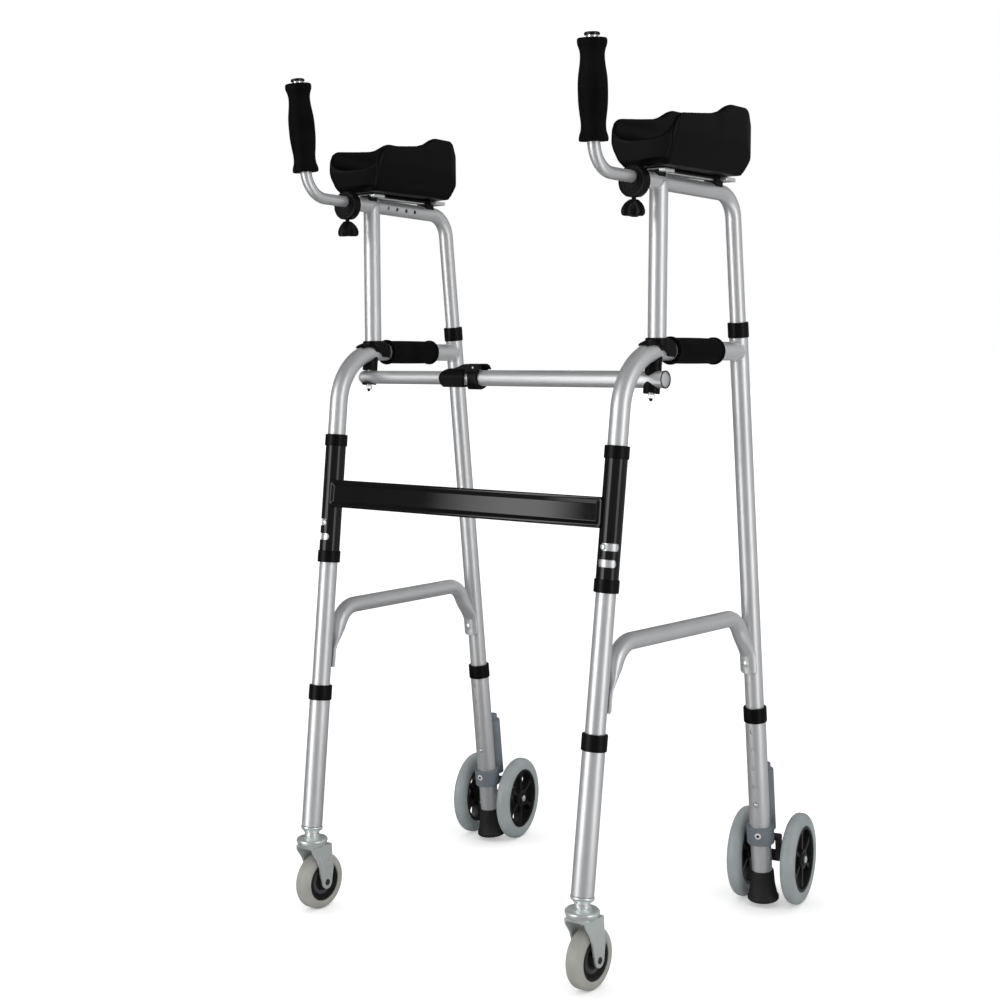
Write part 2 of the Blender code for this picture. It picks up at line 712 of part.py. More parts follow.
@functools.cache
def rail_grip():
    """Foam sleeve of the handrail, with a flange at each end."""
    bore = MAIN_TUBE_DIAMETER / 2 + SLIDING_FIT
    belly, flange = RAIL_GRIP_DIAMETER / 2, RAIL_GRIP_FLANGE_DIAMETER / 2
    length, lip = RAIL_GRIP_LENGTH, RAIL_GRIP_FLANGE
    return turned([
        (bore, length), (flange, length), (flange, length - lip), (belly - 0.001, length - 1.5 * lip),
        (belly, length / 2), (belly - 0.001, 1.5 * lip), (flange, lip), (flange, 0), (bore, 0),
    ])


@functools.cache
def forearm_post():
    post = pipe(POST_DIAMETER, POST_DIAMETER - 2 * TUBE_WALL, POST_FOOT_HEIGHT, ARM_TUBE_FRONT_HEIGHT)
    return cut(moved(post, move(0, POST_DISTANCE, 0)), arm_tube_cutter())


def arm_tube_cutter():
    return moved(cylinder(ARM_TUBE_DIAMETER + 2 * GAP, -0.01, 0.2), ARM_TUBE_AXIS)


@functools.cache
def forearm_tube():
    """Tube under the forearm, bent down behind it into the top of the rear leg."""
    corner_z = arm_tube_z(rear_leg_s(ARM_TUBE_FRONT_HEIGHT))
    corner = (0, rear_leg_s(corner_z), corner_z)
    end = (0, rear_leg_s(ARM_TUBE_END_HEIGHT), ARM_TUBE_END_HEIGHT)
    route = rounded_route([(0, ARM_TUBE_FRONT, ARM_TUBE_FRONT_HEIGHT), corner, end], ARM_TUBE_BEND_RADIUS)
    bore = cylinder(ROD_DIAMETER + 2 * RUNNING_FIT, -0.01, ROD_INSERT - ARM_TUBE_FRONT + 0.06)
    return cut(swept(route, ARM_TUBE_DIAMETER), moved(bore, ARM_TUBE_AXIS))


@functools.cache
def post_saddle():
    """Moulded cap over the handrail that carries the front post of the forearm frame."""
    corner = (0, front_leg_s(HANDRAIL_HEIGHT), HANDRAIL_HEIGHT)
    low = (0, front_leg_s(FRONT_LEG_END_HEIGHT), FRONT_LEG_END_HEIGHT)
    end = (0, REAR_LEG_DISTANCE, HANDRAIL_HEIGHT)
    route = rounded_route([low, corner, end], MAIN_BEND_RADIUS)
    rear = RAIL_GRIP_START - GAP
    length = rear - SADDLE_FRONT
    middle = SADDLE_FRONT + length / 2
    height = MAIN_TUBE_DIAMETER / 2 + SADDLE_WALL
    bottom = HANDRAIL_HEIGHT - 0.007
    envelope = block((0.06, length, height + 0.012), (0, middle, bottom + (height + 0.012) / 2))
    shell = common(swept(route, MAIN_TUBE_DIAMETER + 2 * SADDLE_WALL), envelope)
    boss_top = POST_FOOT_HEIGHT + SADDLE_BOSS_RISE
    boss = moved(cylinder(SADDLE_BOSS_DIAMETER, HANDRAIL_HEIGHT, boss_top), move(0, POST_DISTANCE, 0))
    pocket = moved(cylinder(POST_DIAMETER + 2 * SLIDING_FIT, POST_FOOT_HEIGHT - GAP, boss_top + 0.01),
                   move(0, POST_DISTANCE, 0))
    return cut(joined(shell, boss), swept(route, MAIN_TUBE_DIAMETER + 2 * GAP), pocket)


def pivot_bolt(rise, drop):
    """Bolt, nut and spacer, clear of the bar by a rise above its axis and a drop below it."""
    nut_top = -drop
    shaft = cylinder(BOLT_DIAMETER, nut_top - NUT_HEIGHT - 0.002, BOLT_RISE, 12)
    nut = cylinder(NUT_WIDTH / math.cos(math.pi / 6), nut_top - NUT_HEIGHT, nut_top, 6)
    spacer = cylinder(SPACER_DIAMETER, rise, HANDRAIL_HEIGHT - BAR_HEIGHT)
    corner = (0, front_leg_s(HANDRAIL_HEIGHT), HANDRAIL_HEIGHT)
    low = (0, front_leg_s(FRONT_LEG_END_HEIGHT), FRONT_LEG_END_HEIGHT)
    end = (0, REAR_LEG_DISTANCE, HANDRAIL_HEIGHT)
    route = rounded_route([low, corner, end], MAIN_BEND_RADIUS)
    rail = moved(swept(route, MAIN_TUBE_DIAMETER + 2 * GAP), PIVOT_AXIS.inverted())
    bore = cylinder(BOLT_DIAMETER - 0.001, 0, 0.1, 12)
    return joined(shaft, nut, cut(spacer, rail, bore))


# Forearm support

def pad_section(s, base, top, trough, half_width, ends=0.0):
    """One cross-section of the pad: flat base, flared sides and a round trough."""
    bottom = PAD_BOTTOM_HALF_WIDTH * (1 - ends)
    side_z = base + (top - base) * 0.55
    inner = half_width - PAD_WALL
    right = [
        (bottom * 0.55, base), (bottom, base), (half_width * 0.93, base + (top - base) * 0.30),
        (half_width, side_z), (half_width * 0.95, top), (inner * 0.93, top),
        (inner * 0.97, side_z), (inner * 0.62, trough + (side_z - trough) * 0.30),
    ]
    loop = right + [(0, trough)] + [(-n, z) for n, z in right[::-1]] + [(0, base)]
    return [(n, s, z) for n, z in loop]


@functools.cache
def forearm_pad():
    """Moulded arm trough: a low front lip, then side walls that rise to the elbow end."""
    front, length = PAD_FRONT, PAD_LENGTH
    base, low_top, mid_top, high_top = (
        PAD_BOTTOM_HEIGHT, PAD_FRONT_TOP_HEIGHT, PAD_MIDDLE_TOP_HEIGHT, PAD_REAR_TOP_HEIGHT)
    trough, wide = PAD_TROUGH_HEIGHT, PAD_HALF_WIDTH
    sections = [
        (0.02, base + 0.012, trough + 0.012, trough + 0.004, wide * 0.80, 0.25),
        (0.05, base + 0.003, low_top - 0.012, trough + 0.001, wide * 0.92, 0.08),
        (0.16, base, low_top, trough, wide * 0.97, 0.0),
        (0.42, base, mid_top, trough - 0.001, wide * 0.97, 0.0),
        (0.52, base, mid_top + 0.004, trough - 0.002, wide * 0.98, 0.0),
        (0.62, base, high_top, trough - 0.002, wide, 0.0),
        (0.88, base, high_top - 0.001, trough - 0.001, wide, 0.0),
        (1.00, base + 0.030, high_top - 0.020, trough + 0.012, wide * 0.99, 0.05),
    ]
    rings = [pad_section(front + length * at, *sizes) for at, *sizes in sections]
    return softened(lofted(rings))


@functools.cache
def pad_plate():
    """Steel strip under the pad, on two feet that sit on the tube."""
    middle = PLATE_FRONT + PLATE_LENGTH / 2
    strip_z = PAD_BOTTOM_HEIGHT - GAP - PLATE_THICKNESS / 2
    strip = block((PLATE_WIDTH, PLATE_LENGTH, PLATE_THICKNESS), (0, middle, strip_z), 0.001, 1)
    waist = [
        block((PLATE_WIDTH, PLATE_LENGTH - 2 * PLATE_TAB_LENGTH, 0.01),
              (side * (PLATE_WIDTH / 2 + PLATE_WAIST_HALF_WIDTH), middle, strip_z), 0.004)
        for side in (1, -1)
    ]
    feet = []
    for s in (PLATE_FRONT + PLATE_FOOT_LENGTH / 2, PLATE_FRONT + PLATE_LENGTH - PLATE_FOOT_LENGTH * 1.5):
        height = strip_z - arm_tube_z(s) + 0.002
        feet.append(block((PLATE_FOOT_WIDTH, PLATE_FOOT_LENGTH, height), (0, s, strip_z - height / 2)))
    return cut(joined(cut(strip, *waist), *feet), arm_tube_cutter())


@functools.cache
def rod_clamp():
    """Round clamp on the front end of the forearm tube, with a flat below for the knob."""
    radius, front, chamfer = CLAMP_DIAMETER / 2, CLAMP_SEAT - CLAMP_LENGTH, 0.0015
    body = turned([(0, CLAMP_SEAT), (radius - chamfer, CLAMP_SEAT), (radius, CLAMP_SEAT - chamfer),
                   (radius, front + chamfer), (radius - chamfer, front), (0, front)])
    bore = stepped(ARM_TUBE_DIAMETER + 2 * GAP, ROD_DIAMETER + 2 * RUNNING_FIT, -0.03, -GAP, 0.03)
    flat = block((0.06, 0.02, 0.06), (0, CLAMP_DROP + radius - CLAMP_FLAT + 0.01, 0))
    screw_hole = moved(cylinder(KNOB_STEM_DIAMETER + 2 * SLIDING_FIT, -0.03, -0.005, HOLE_SIDES), knob_turn())
    return cut(moved(body, move(0, CLAMP_DROP, 0)), bore, flat, screw_hole)


def knob_turn():
    """Downward screw axis of the clamp, in the clamp's own axes."""
    return move(0, 0, CLAMP_SEAT - CLAMP_LENGTH / 2) @ turn(90, "X")


@functools.cache
def clamp_knob():
    """Lobed hand knob on a stem, pointing up into the clamp, with its top at zero."""
    outline = []
    points = KNOB_LOBES * 8
    for i in range(points):
        angle = 2 * math.pi * i / points
        radius = KNOB_DIAMETER / 2 * (0.82 + 0.18 * math.cos(KNOB_LOBES * angle))
        outline.append((radius * math.cos(angle), radius * math.sin(angle)))
    rings = []
    for depth, share in ((0, 0.42), (0.15, 0.55), (0.55, 0.86), (0.85, 1.0), (1.0, 0.93)):
        rings.append([(x * share, y * share, -KNOB_HEIGHT * depth) for x, y in outline])
    stem = cylinder(KNOB_STEM_DIAMETER, -0.004, KNOB_STEM_LENGTH + 0.0035, HOLE_SIDES)
    return joined(lofted(rings), stem)


def grip_direction():
    forward, outward = math.radians(GRIP_FORWARD_LEAN), math.radians(GRIP_OUTWARD_LEAN)
    return Vector((math.tan(outward), -math.tan(forward), 1)).normalized()


def rod_corner():
    return Vector((0, ROD_CORNER, arm_tube_z(ROD_CORNER)))


def grip_place():
    """Z up the hand grip from its lower end."""
    up = grip_direction()
    corner = rod_corner()
    foot = corner + up * (GRIP_START_HEIGHT - corner.z) / up.z
    return Matrix.Translation(foot) @ up.to_track_quat("Z", "Y").to_matrix().to_4x4()


@functools.cache
def grip_rod():
    tail = (0, ROD_INSERT, arm_tube_z(ROD_INSERT))
    head = grip_place() @ Vector((0, 0, GRIP_LENGTH - 0.008))
    return swept(rounded_route([tail, rod_corner(), head], ROD_BEND_RADIUS), ROD_DIAMETER)


@functools.cache
def hand_grip():
    """Waisted foam hand grip with a round cap on top."""
    bore = ROD_DIAMETER / 2 + SLIDING_FIT
    belly, neck, length = GRIP_BELLY_DIAMETER / 2, GRIP_NECK_DIAMETER / 2, GRIP_LENGTH
    inside = length - 0.008 + GAP
    cap, cap_neck, top = GRIP_CAP_DIAMETER / 2, GRIP_CAP_NECK_DIAMETER / 2, length + GRIP_CAP_RISE
    under = top - GRIP_CAP_DISC
    profile = [(0, top), (cap - GRIP_CAP_CHAMFER, top), (cap, top - GRIP_CAP_CHAMFER), (cap, under),
               (cap_neck, under), (cap_neck, length), (belly - 0.001, length), (belly, length - 0.002)]
    waists = [(0.90, neck + 0.0012), (0.82, neck), (0.74, neck + 0.0014), (0.62, belly - 0.0006),
              (0.40, belly - 0.0006), (0.24, neck + 0.0012), (0.16, neck), (0.09, neck + 0.0014)]
    profile += [(radius, length * at) for at, radius in waists]
    profile += [(belly, 0.002), (belly - 0.001, 0), (bore, 0), (bore, inside), (0, inside)]
    return turned(profile)


# Telescopic bar

def rail_pivot_x():
    """Distance of a pivot bolt from the middle, at the bar's height."""
    return (SIDE_FRAME @ PIVOT_AXIS).translation.x


def bar_place():
    """X along the bar, with its origin on the bar's axis at the walker's middle."""
    pivot = (SIDE_FRAME @ PIVOT_AXIS).translation
    return move(0, pivot.y, pivot.z)


def along_bar(mesh):
    """Turns a mesh made about Z to lie along X."""
    return moved(mesh, turn(90, "Y"))


def bolt_cutter(x, diameter):
    pivot = (SIDE_FRAME @ PIVOT_AXIS)
    if x < 0:
        pivot = MIRROR @ pivot @ MIRROR
    return moved(cylinder(diameter, -0.03, 0.03, 16), bar_place().inverted() @ pivot)


@functools.cache
def left_bar_tube():
    """Thin inner tube of the bar, with a rounded end on the left bolt."""
    radius, bolt = THIN_BAR_DIAMETER / 2, -rail_pivot_x()
    left, right = bolt - THIN_BAR_OVERHANG, THICK_BAR_MOUTH + BAR_ENGAGEMENT
    bore = radius - TUBE_WALL
    outer = turned([(0, right), (radius, right), (radius, left + 0.010), (radius * 0.88, left + 0.0045),
                    (radius * 0.6, left + 0.0012), (0, left)])
    inner = cylinder(2 * bore, left + 0.012, right + 0.01)
    tube = along_bar(cut(outer, inner))
    return cut(tube, bolt_cutter(-1, BOLT_DIAMETER + 2 * SLIDING_FIT))


@functools.cache
def right_bar_tube():
    """Thick outer tube of the bar, with a cap beyond the right bolt."""
    radius, bolt = THICK_BAR_DIAMETER / 2, rail_pivot_x()
    cap_end = bolt + THICK_BAR_OVERHANG
    cap_start = cap_end - BAR_CAP_LENGTH
    cap = BAR_CAP_DIAMETER / 2
    outer = turned([(0, cap_end), (cap - 0.0015, cap_end), (cap, cap_end - 0.0015), (cap, cap_start),
                    (radius, cap_start), (radius, THICK_BAR_MOUTH), (0, THICK_BAR_MOUTH)])
    inner = cylinder(THIN_BAR_DIAMETER + 2 * SLIDING_FIT, THICK_BAR_MOUTH - 0.01, cap_start)
    tube = along_bar(cut(outer, inner))
    return cut(tube, bolt_cutter(1, BOLT_DIAMETER + 2 * SLIDING_FIT))


def saddle_washer(bottom, top):
    """A round washer hollowed to sit on the thick tube, in the right pivot's axes."""
    pivot = SIDE_FRAME @ PIVOT_AXIS
    tube = along_bar(cylinder(THICK_BAR_DIAMETER + 2 * GAP, -0.5, 0.5))
    tube = moved(tube, pivot.inverted() @ bar_place())
    return cut(cylinder(SADDLE_WASHER_DIAMETER, bottom, top), tube,
               cylinder(BOLT_DIAMETER + 2 * SLIDING_FIT, -0.1, 0.1, 16))


@functools.cache
def bar_lock_collar():
    """Collar on the mouth of the thick tube, with two cheeks and the pin of the lever."""
    left, right = LOCK_COLLAR_LEFT, LOCK_COLLAR_LEFT + LOCK_COLLAR_LENGTH
    outer = LOCK_COLLAR_DIAMETER / 2
    ring = along_bar(turned([
        (0, right), (outer - EDGE, right), (outer, right - 2 * EDGE), (outer, left), (0, left),
    ]))
    outline = [(left + 0.002, 0.008), (left + 0.002, 0.0125), (LOCK_PIN_X - 0.006, 0.0200),
               (LOCK_PIN_X + 0.002, 0.0200), (right - 0.001, 0.0125), (right - 0.001, 0.008)]
    cheeks = moved(facing_out(plate(outline, 2 * LOCK_CHEEK_HALF_WIDTH)), turn(90, "X"))
    pin_half = LOCK_CHEEK_HALF_WIDTH + 0.0005
    pin = moved(cylinder(LOCK_PIN_DIAMETER, -pin_half, pin_half, 12),
                move(LOCK_PIN_X, 0, LOCK_PIN_RISE) @ turn(90, "X"))
    body = joined(ring, cheeks)
    channel = block((LOCK_COLLAR_LENGTH + 0.02, 2 * (LOCK_KNUCKLE_HALF_WIDTH + GAP), 0.02),
                    ((left + right) / 2, 0, 0.019))
    bore = along_bar(stepped(THICK_BAR_DIAMETER + 2 * GAP, THIN_BAR_DIAMETER + 2 * RUNNING_FIT,
                             left - 0.01, THICK_BAR_MOUTH - GAP, right + 0.01))
    return joined(cut(body, channel, bore), pin)


@functools.cache
def bar_lock_lever():
    """Flip lever: a knuckle on the pin, a ramp, and a half sleeve that hugs the thin tube."""
    left, shell_right = LEVER_LEFT, LEVER_LEFT + LEVER_SHELL_LENGTH
    inner = THIN_BAR_DIAMETER / 2 + 0.0008
    outer = inner + LEVER_SHELL_WALL
    half = LEVER_SHELL_WRAP
    wrap = arc((0, 0), outer, 90 - half, 90 + half, 16) + arc((0, 0), inner, 90 + half, 90 - half, 16)
    shell = facing_out(plate(wrap, LEVER_SHELL_LENGTH))
    stand = Matrix(((0, 0, 1, 0), (1, 0, 0, 0), (0, 1, 0, 0), (0, 0, 0, 1)))
    shell = moved(shell, move((left + shell_right) / 2, 0, 0) @ stand)
    ramp_outline = [(left + 0.006, outer - 0.001), (left + 0.006, outer + 0.0008),
                    (shell_right - 0.008, outer + 0.001), (LOCK_PIN_X - 0.010, LOCK_PIN_RISE + 0.0042),
                    (LOCK_PIN_X, LOCK_PIN_RISE + 0.0042),
                    (LOCK_PIN_X, LOCK_PIN_RISE - 0.001), (LOCK_PIN_X - 0.008, LOCK_PIN_RISE - 0.0030),
                    (shell_right - 0.002, outer - 0.0016)]
    ramp = moved(facing_out(plate(ramp_outline, 2 * LOCK_KNUCKLE_HALF_WIDTH)), turn(90, "X"))
    knuckle = moved(cylinder(LOCK_KNUCKLE_DIAMETER, -LOCK_KNUCKLE_HALF_WIDTH, LOCK_KNUCKLE_HALF_WIDTH, 16),
                    move(LOCK_PIN_X, 0, LOCK_PIN_RISE) @ turn(90, "X"))
    pin = moved(cylinder(LOCK_PIN_DIAMETER + 2 * GAP, -0.02, 0.02, 12),
                move(LOCK_PIN_X, 0, LOCK_PIN_RISE) @ turn(90, "X"))
    nose = moved(cylinder(0.030, -0.02, 0.02, 24), move(left + 0.015, 0, -0.004) @ turn(90, "X"))
    tongue = block((LEVER_SHELL_LENGTH, 0.05, 0.06), (left + 0.015 + LEVER_SHELL_LENGTH / 2, 0, 0))
    rounded = common(shell, joined(nose, tongue))
    return cut(joined(rounded, ramp, knuckle), pin)


# Leg extensions and buttons

def extension(axis_distance, top, bottom, button, holes_facing):
    """A tube with a collar at its top and a row of button holes, the lowest at the button."""
    outer, collar = EXTENSION_DIAMETER / 2, EXTENSION_COLLAR_DIAMETER / 2
    bore = MAIN_TUBE_DIAMETER / 2 + SLIDING_FIT
    shoulder = top - EXTENSION_COLLAR_LENGTH
    tube = turned([
        (bore, top), (collar, top), (collar, shoulder), (outer, shoulder), (outer, bottom), (bore, bottom),
    ])
    holes = [
        moved(cylinder(HOLE_DIAMETER, 0.005, 0.03, HOLE_SIDES),
              button_place(Matrix.Identity(4), axis_distance(button) + HOLE_PITCH * i, holes_facing))
        for i in range(HOLE_COUNT)
    ]
    return cut(tube, *holes)


@functools.cache
def front_extension():
    return extension(along_front, along_front(FRONT_EXTENSION_TOP_HEIGHT), 0.0, FRONT_BUTTON_HEIGHT, 1)


@functools.cache
def rear_extension():
    bottom = along_rear(TIP_CLEARANCE) + TIP_SOLE + GAP
    return extension(along_rear, along_rear(REAR_EXTENSION_TOP_HEIGHT), bottom, REAR_BUTTON_HEIGHT, -1)


@functools.cache
def snap_button():
    """Spring button, with Z out through the tube: a domed pin on a leaf that lies inside the leg."""
    bore = MAIN_TUBE_DIAMETER / 2 - TUBE_WALL
    leaf_top = bore - 0.0018
    leaf_bottom = leaf_top - BUTTON_LEAF_THICKNESS
    pin_top = EXTENSION_DIAMETER / 2 + BUTTON_PROUD
    radius = BUTTON_DIAMETER / 2
    pin = turned([(0, pin_top), (radius * 0.7, pin_top - 0.0004), (radius, pin_top - 0.0016),
                  (radius, leaf_bottom), (0, leaf_bottom)], HOLE_SIDES)
    leaf = block((BUTTON_LEAF_WIDTH, BUTTON_LEAF_LENGTH, BUTTON_LEAF_THICKNESS),
                 (0, 0, leaf_bottom + BUTTON_LEAF_THICKNESS / 2))
    return joined(pin, leaf)


# Castor

@functools.cache
def castor_plate():
    """Plug in the leg, neck and bearing plate, in the side frame's axes."""
    top = CASTOR_PLATE_HEIGHT + CASTOR_PLATE_THICKNESS
    radius = MAIN_TUBE_DIAMETER / 2 - GAP
    lip, neck_radius = EXTENSION_DIAMETER / 2 + CASTOR_LIP, CASTOR_NECK_DIAMETER / 2
    plug = moved(turned([
        (0, CASTOR_PLUG_LENGTH), (radius - EDGE, CASTOR_PLUG_LENGTH), (radius, CASTOR_PLUG_LENGTH - EDGE),
        (radius, -GAP), (lip, -GAP), (lip, -CASTOR_LIP_HEIGHT), (neck_radius, -2 * CASTOR_LIP_HEIGHT),
        (0, -2 * CASTOR_LIP_HEIGHT),
    ]), FRONT_AXIS)
    plate_radius = CASTOR_PLATE_DIAMETER / 2
    neck_top = FRONT_FOOT_HEIGHT - CASTOR_LIP_HEIGHT
    neck = turned([
        (0, neck_top), (neck_radius, neck_top), (neck_radius, top), (plate_radius - EDGE, top),
        (plate_radius, top - EDGE), (plate_radius, CASTOR_PLATE_HEIGHT), (0, CASTOR_PLATE_HEIGHT),
    ])
    return joined(neck, plug)


@functools.cache
def castor_fork():
    """Swivelling fork with its race and axle, in axes whose origin is on the floor below the swivel."""
    race_top = CASTOR_PLATE_HEIGHT - GAP
    race_bottom = race_top - CASTOR_RACE_HEIGHT
    race = turned([(0, race_top), (CASTOR_RACE_DIAMETER / 2, race_top),
                   (CASTOR_RACE_DIAMETER / 2, race_top - CASTOR_RACE_HEIGHT / 2),
                   (CASTOR_RACE_DIAMETER / 2 - 0.003, race_bottom - 0.001), (0, race_bottom - 0.001)])
    eye_z = CASTOR_WHEEL_DIAMETER / 2
    outer_half = FORK_GAP / 2 + FORK_THICKNESS
    crown = block((2 * outer_half, FORK_CROWN_WIDTH, FORK_THICKNESS),
                  (0, 0.002, race_bottom - FORK_THICKNESS / 2), 0.0008, 1)
    eye = FORK_EYE_DIAMETER / 2
    half_crown = FORK_CROWN_WIDTH / 2
    outline = [(0.002 - half_crown, race_bottom - 0.0005)]
    outline += arc((CASTOR_TRAIL, eye_z), eye, 190, 350, 5)
    outline += [(0.002 + half_crown + 0.002, race_bottom - 0.010), (0.002 + half_crown, race_bottom - 0.0005)]
    stand = Matrix(((0, 0, 1, 0), (1, 0, 0, 0), (0, 1, 0, 0), (0, 0, 0, 1)))
    cheek = moved(facing_out(plate(outline, FORK_THICKNESS)), stand)
    cheeks = [moved(cheek, move(side * (FORK_GAP + FORK_THICKNESS) / 2, 0, 0)) for side in (1, -1)]
    axle_half = outer_half + CASTOR_AXLE_HEAD
    axle = cylinder(CASTOR_AXLE_DIAMETER, -axle_half, axle_half, 16)
    heads = [
        cylinder(CASTOR_AXLE_HEAD_DIAMETER, *sorted((side * (outer_half - 0.0005), side * axle_half)), 12)
        for side in (1, -1)
    ]
    lie = move(0, CASTOR_TRAIL, eye_z) @ turn(90, "Y")
    return joined(race, crown, *cheeks, *[moved(mesh, lie) for mesh in (axle, *heads)])


def wheel_profile(diameter, width, hub_diameter, bore_diameter, boss_diameter, web, shoulder):
    """A wheel's section: bore, boss, web, rim and a tyre with chamfered shoulders."""
    radius, half, rim = diameter / 2, width / 2, hub_diameter / 2
    boss, bore, thin = boss_diameter / 2, bore_diameter / 2, web / 2
    right = [(bore, half + 0.0004), (boss, half + 0.0004), (boss, thin), (rim, thin), (rim, half),
             (radius - shoulder, half), (radius, half - shoulder)]
    return right + [(r, -z) for r, z in right[::-1]]


@functools.cache
def castor_wheel():
    return turned(wheel_profile(CASTOR_WHEEL_DIAMETER, CASTOR_WHEEL_WIDTH, CASTOR_HUB_DIAMETER,
                                CASTOR_AXLE_DIAMETER + 2 * SLIDING_FIT, CASTOR_BOSS_DIAMETER, CASTOR_WEB,
                                CASTOR_SHOULDER), WHEEL_STEPS)


# Rear brake unit

@functools.cache
def rubber_tip():
    bottom = along_rear(TIP_CLEARANCE)
    top = bottom + TIP_HEIGHT
    neck, foot = TIP_TOP_DIAMETER / 2, TIP_BOTTOM_DIAMETER / 2
    pocket = EXTENSION_DIAMETER / 2 + GAP
    body = turned([(0, top), (neck, top), (neck, bottom + 0.022), (foot - 0.0015, bottom + 0.006),
                   (foot, bottom + 0.004), (foot, bottom), (0, bottom)])
    return cut(body, cylinder(2 * pocket, bottom + TIP_SOLE, top + 0.01))


@functools.cache
def brake_housing():
    """Clamp band on the extension with the spring housing behind it."""
    band_low, band_high = along_rear(BAND_BOTTOM_HEIGHT), along_rear(BAND_BOTTOM_HEIGHT) + BAND_HEIGHT
    low, high = along_rear(HOUSING_BOTTOM_HEIGHT), along_rear(HOUSING_TOP_HEIGHT)
    radius, cap = HOUSING_DIAMETER / 2, HOUSING_CAP_DIAMETER / 2
    band = cylinder(BAND_DIAMETER, band_low, band_high)
    cap_top = high + HOUSING_CAP_HEIGHT
    housing = turned([(0, cap_top), (cap, cap_top), (cap, high), (radius - EDGE, high), (radius, high - EDGE),
                      (radius, low), (0, low)])
    bore = cylinder(PLUNGER_DIAMETER + 2 * RUNNING_FIT, low - 0.02, high - 0.004)
    tube = cylinder(EXTENSION_DIAMETER + 2 * GAP, band_low - 0.02, high + 0.02)
    back = move(0, REAR_AXLE_DISTANCE, 0)
    return cut(joined(band, moved(housing, back)), moved(bore, back), tube)


def rear_unit(side):
    """Place of a rear brake unit about the leg's axis: both sides turn the same way."""
    return SIDE_FRAME @ REAR_AXIS @ turn(side * REAR_UNIT_TURN + TOE_OUT, "Z")


def rear_axle(side):
    """Level axle of a rear wheel pair at wheel height, with Z outward along it."""
    unit = rear_unit(side)
    start = unit @ Vector((REAR_AXLE_OUT, REAR_AXLE_DISTANCE + REAR_AXLE_BACK, 0))
    down = unit.to_3x3() @ Vector((0, 0, 1))
    centre = start + down * (REAR_WHEEL_DIAMETER / 2 - start.z) / down.z
    return Matrix.Translation(centre) @ turn(side * REAR_UNIT_TURN, "Z") @ turn(90, "Y")


@functools.cache
def axle_arm(side):
    """Plunger, yoke and axle of the sprung wheel pair."""
    level = rear_unit(side).inverted() @ rear_axle(side)
    axle_z = level.translation.z
    yoke_top = along_rear(HOUSING_BOTTOM_HEIGHT) - BRAKE_TRAVEL - 0.001
    plunger = cylinder(PLUNGER_DIAMETER, yoke_top - 0.003, yoke_top + PLUNGER_INSERT)
    crown_z = yoke_top - YOKE_THICKNESS / 2
    crown = block((2 * YOKE_HALF_WIDTH, YOKE_DEPTH, YOKE_THICKNESS), (0, 0, crown_z), EDGE, 1)
    leg_height = yoke_top - axle_z
    legs = [
        block((YOKE_THICKNESS, YOKE_DEPTH - 0.0004, leg_height),
              (side_x * (YOKE_HALF_WIDTH - YOKE_THICKNESS / 2 - 0.0003), 0, axle_z + leg_height / 2 - 0.001))
        for side_x in (1, -1)
    ]
    upright = moved(joined(plunger, crown, *legs), move(0, REAR_AXLE_DISTANCE, 0))
    barrel_half = REAR_WHEEL_SPACING / 2 - REAR_TYRE_WIDTH / 2 - 0.001
    axle_half = REAR_WHEEL_SPACING / 2 + REAR_TYRE_WIDTH / 2 + AXLE_END
    barrel = cylinder(AXLE_BARREL_DIAMETER, -barrel_half, barrel_half)
    axle = cylinder(REAR_AXLE_DIAMETER, -axle_half, axle_half)
    return joined(upright, moved(barrel, level), moved(axle, level))


@functools.cache
def rear_wheel():
    """Wheel with a wide tyre and a spoked hub."""
    bore = REAR_AXLE_DIAMETER + 2 * SLIDING_FIT
    body = turned(wheel_profile(REAR_WHEEL_DIAMETER, REAR_TYRE_WIDTH, REAR_HUB_DIAMETER, bore,
                                HUB_BOSS_DIAMETER, WEB_THICKNESS, REAR_SHOULDER), WHEEL_STEPS)
    reach = REAR_HUB_DIAMETER / 2 + 0.001
    start = HUB_BOSS_DIAMETER / 2 - 0.003
    spokes = []
    for i in range(SPOKE_COUNT):
        bar = block((reach - start, SPOKE_WIDTH, REAR_TYRE_WIDTH - 0.003), ((reach + start) / 2, 0, 0))
        spokes.append(moved(bar, turn(360 * i / SPOKE_COUNT, "Z")))
    return joined(body, *spokes)


# Assembly

def world_of(obj):
    """An object's place in the world, from its own place and its parents'."""
    place = obj.matrix_basis.copy()
    while obj.parent:
        obj = obj.parent
        place = obj.matrix_basis @ place
    return place


def put(obj, parent, world):
    obj.parent = parent
    obj.matrix_basis = world_of(parent).inverted() @ world if parent else world
    bpy.data.collections[COLLECTION_NAME].objects.link(obj)
    return obj


def sided(world, side):
    """A right-hand place, mirrored for the left side."""
    return MIRROR @ world @ MIRROR if side < 0 else world


def joint(name, parent, world):
    """An empty on a joint's axis: its Z is the axis."""
    empty = bpy.data.objects.new(name, None)
    empty.empty_display_size = 0.03
    return put(empty, parent, world)


def piece(name, mesh, parent, world, look, side=1):
    """A named solid made from a right-hand mesh, mirrored for the left side."""
    mesh = mesh.copy()
    mesh.name = name
    if side < 0:
        mesh.transform(MIRROR)
        mesh.flip_normals()
    mesh.materials.clear()
    mesh.materials.append(look)
    mesh.shade_smooth()
    mesh.set_sharp_from_angle(angle=math.radians(35))
    return put(bpy.data.objects.new(name, mesh), parent, sided(world, side))


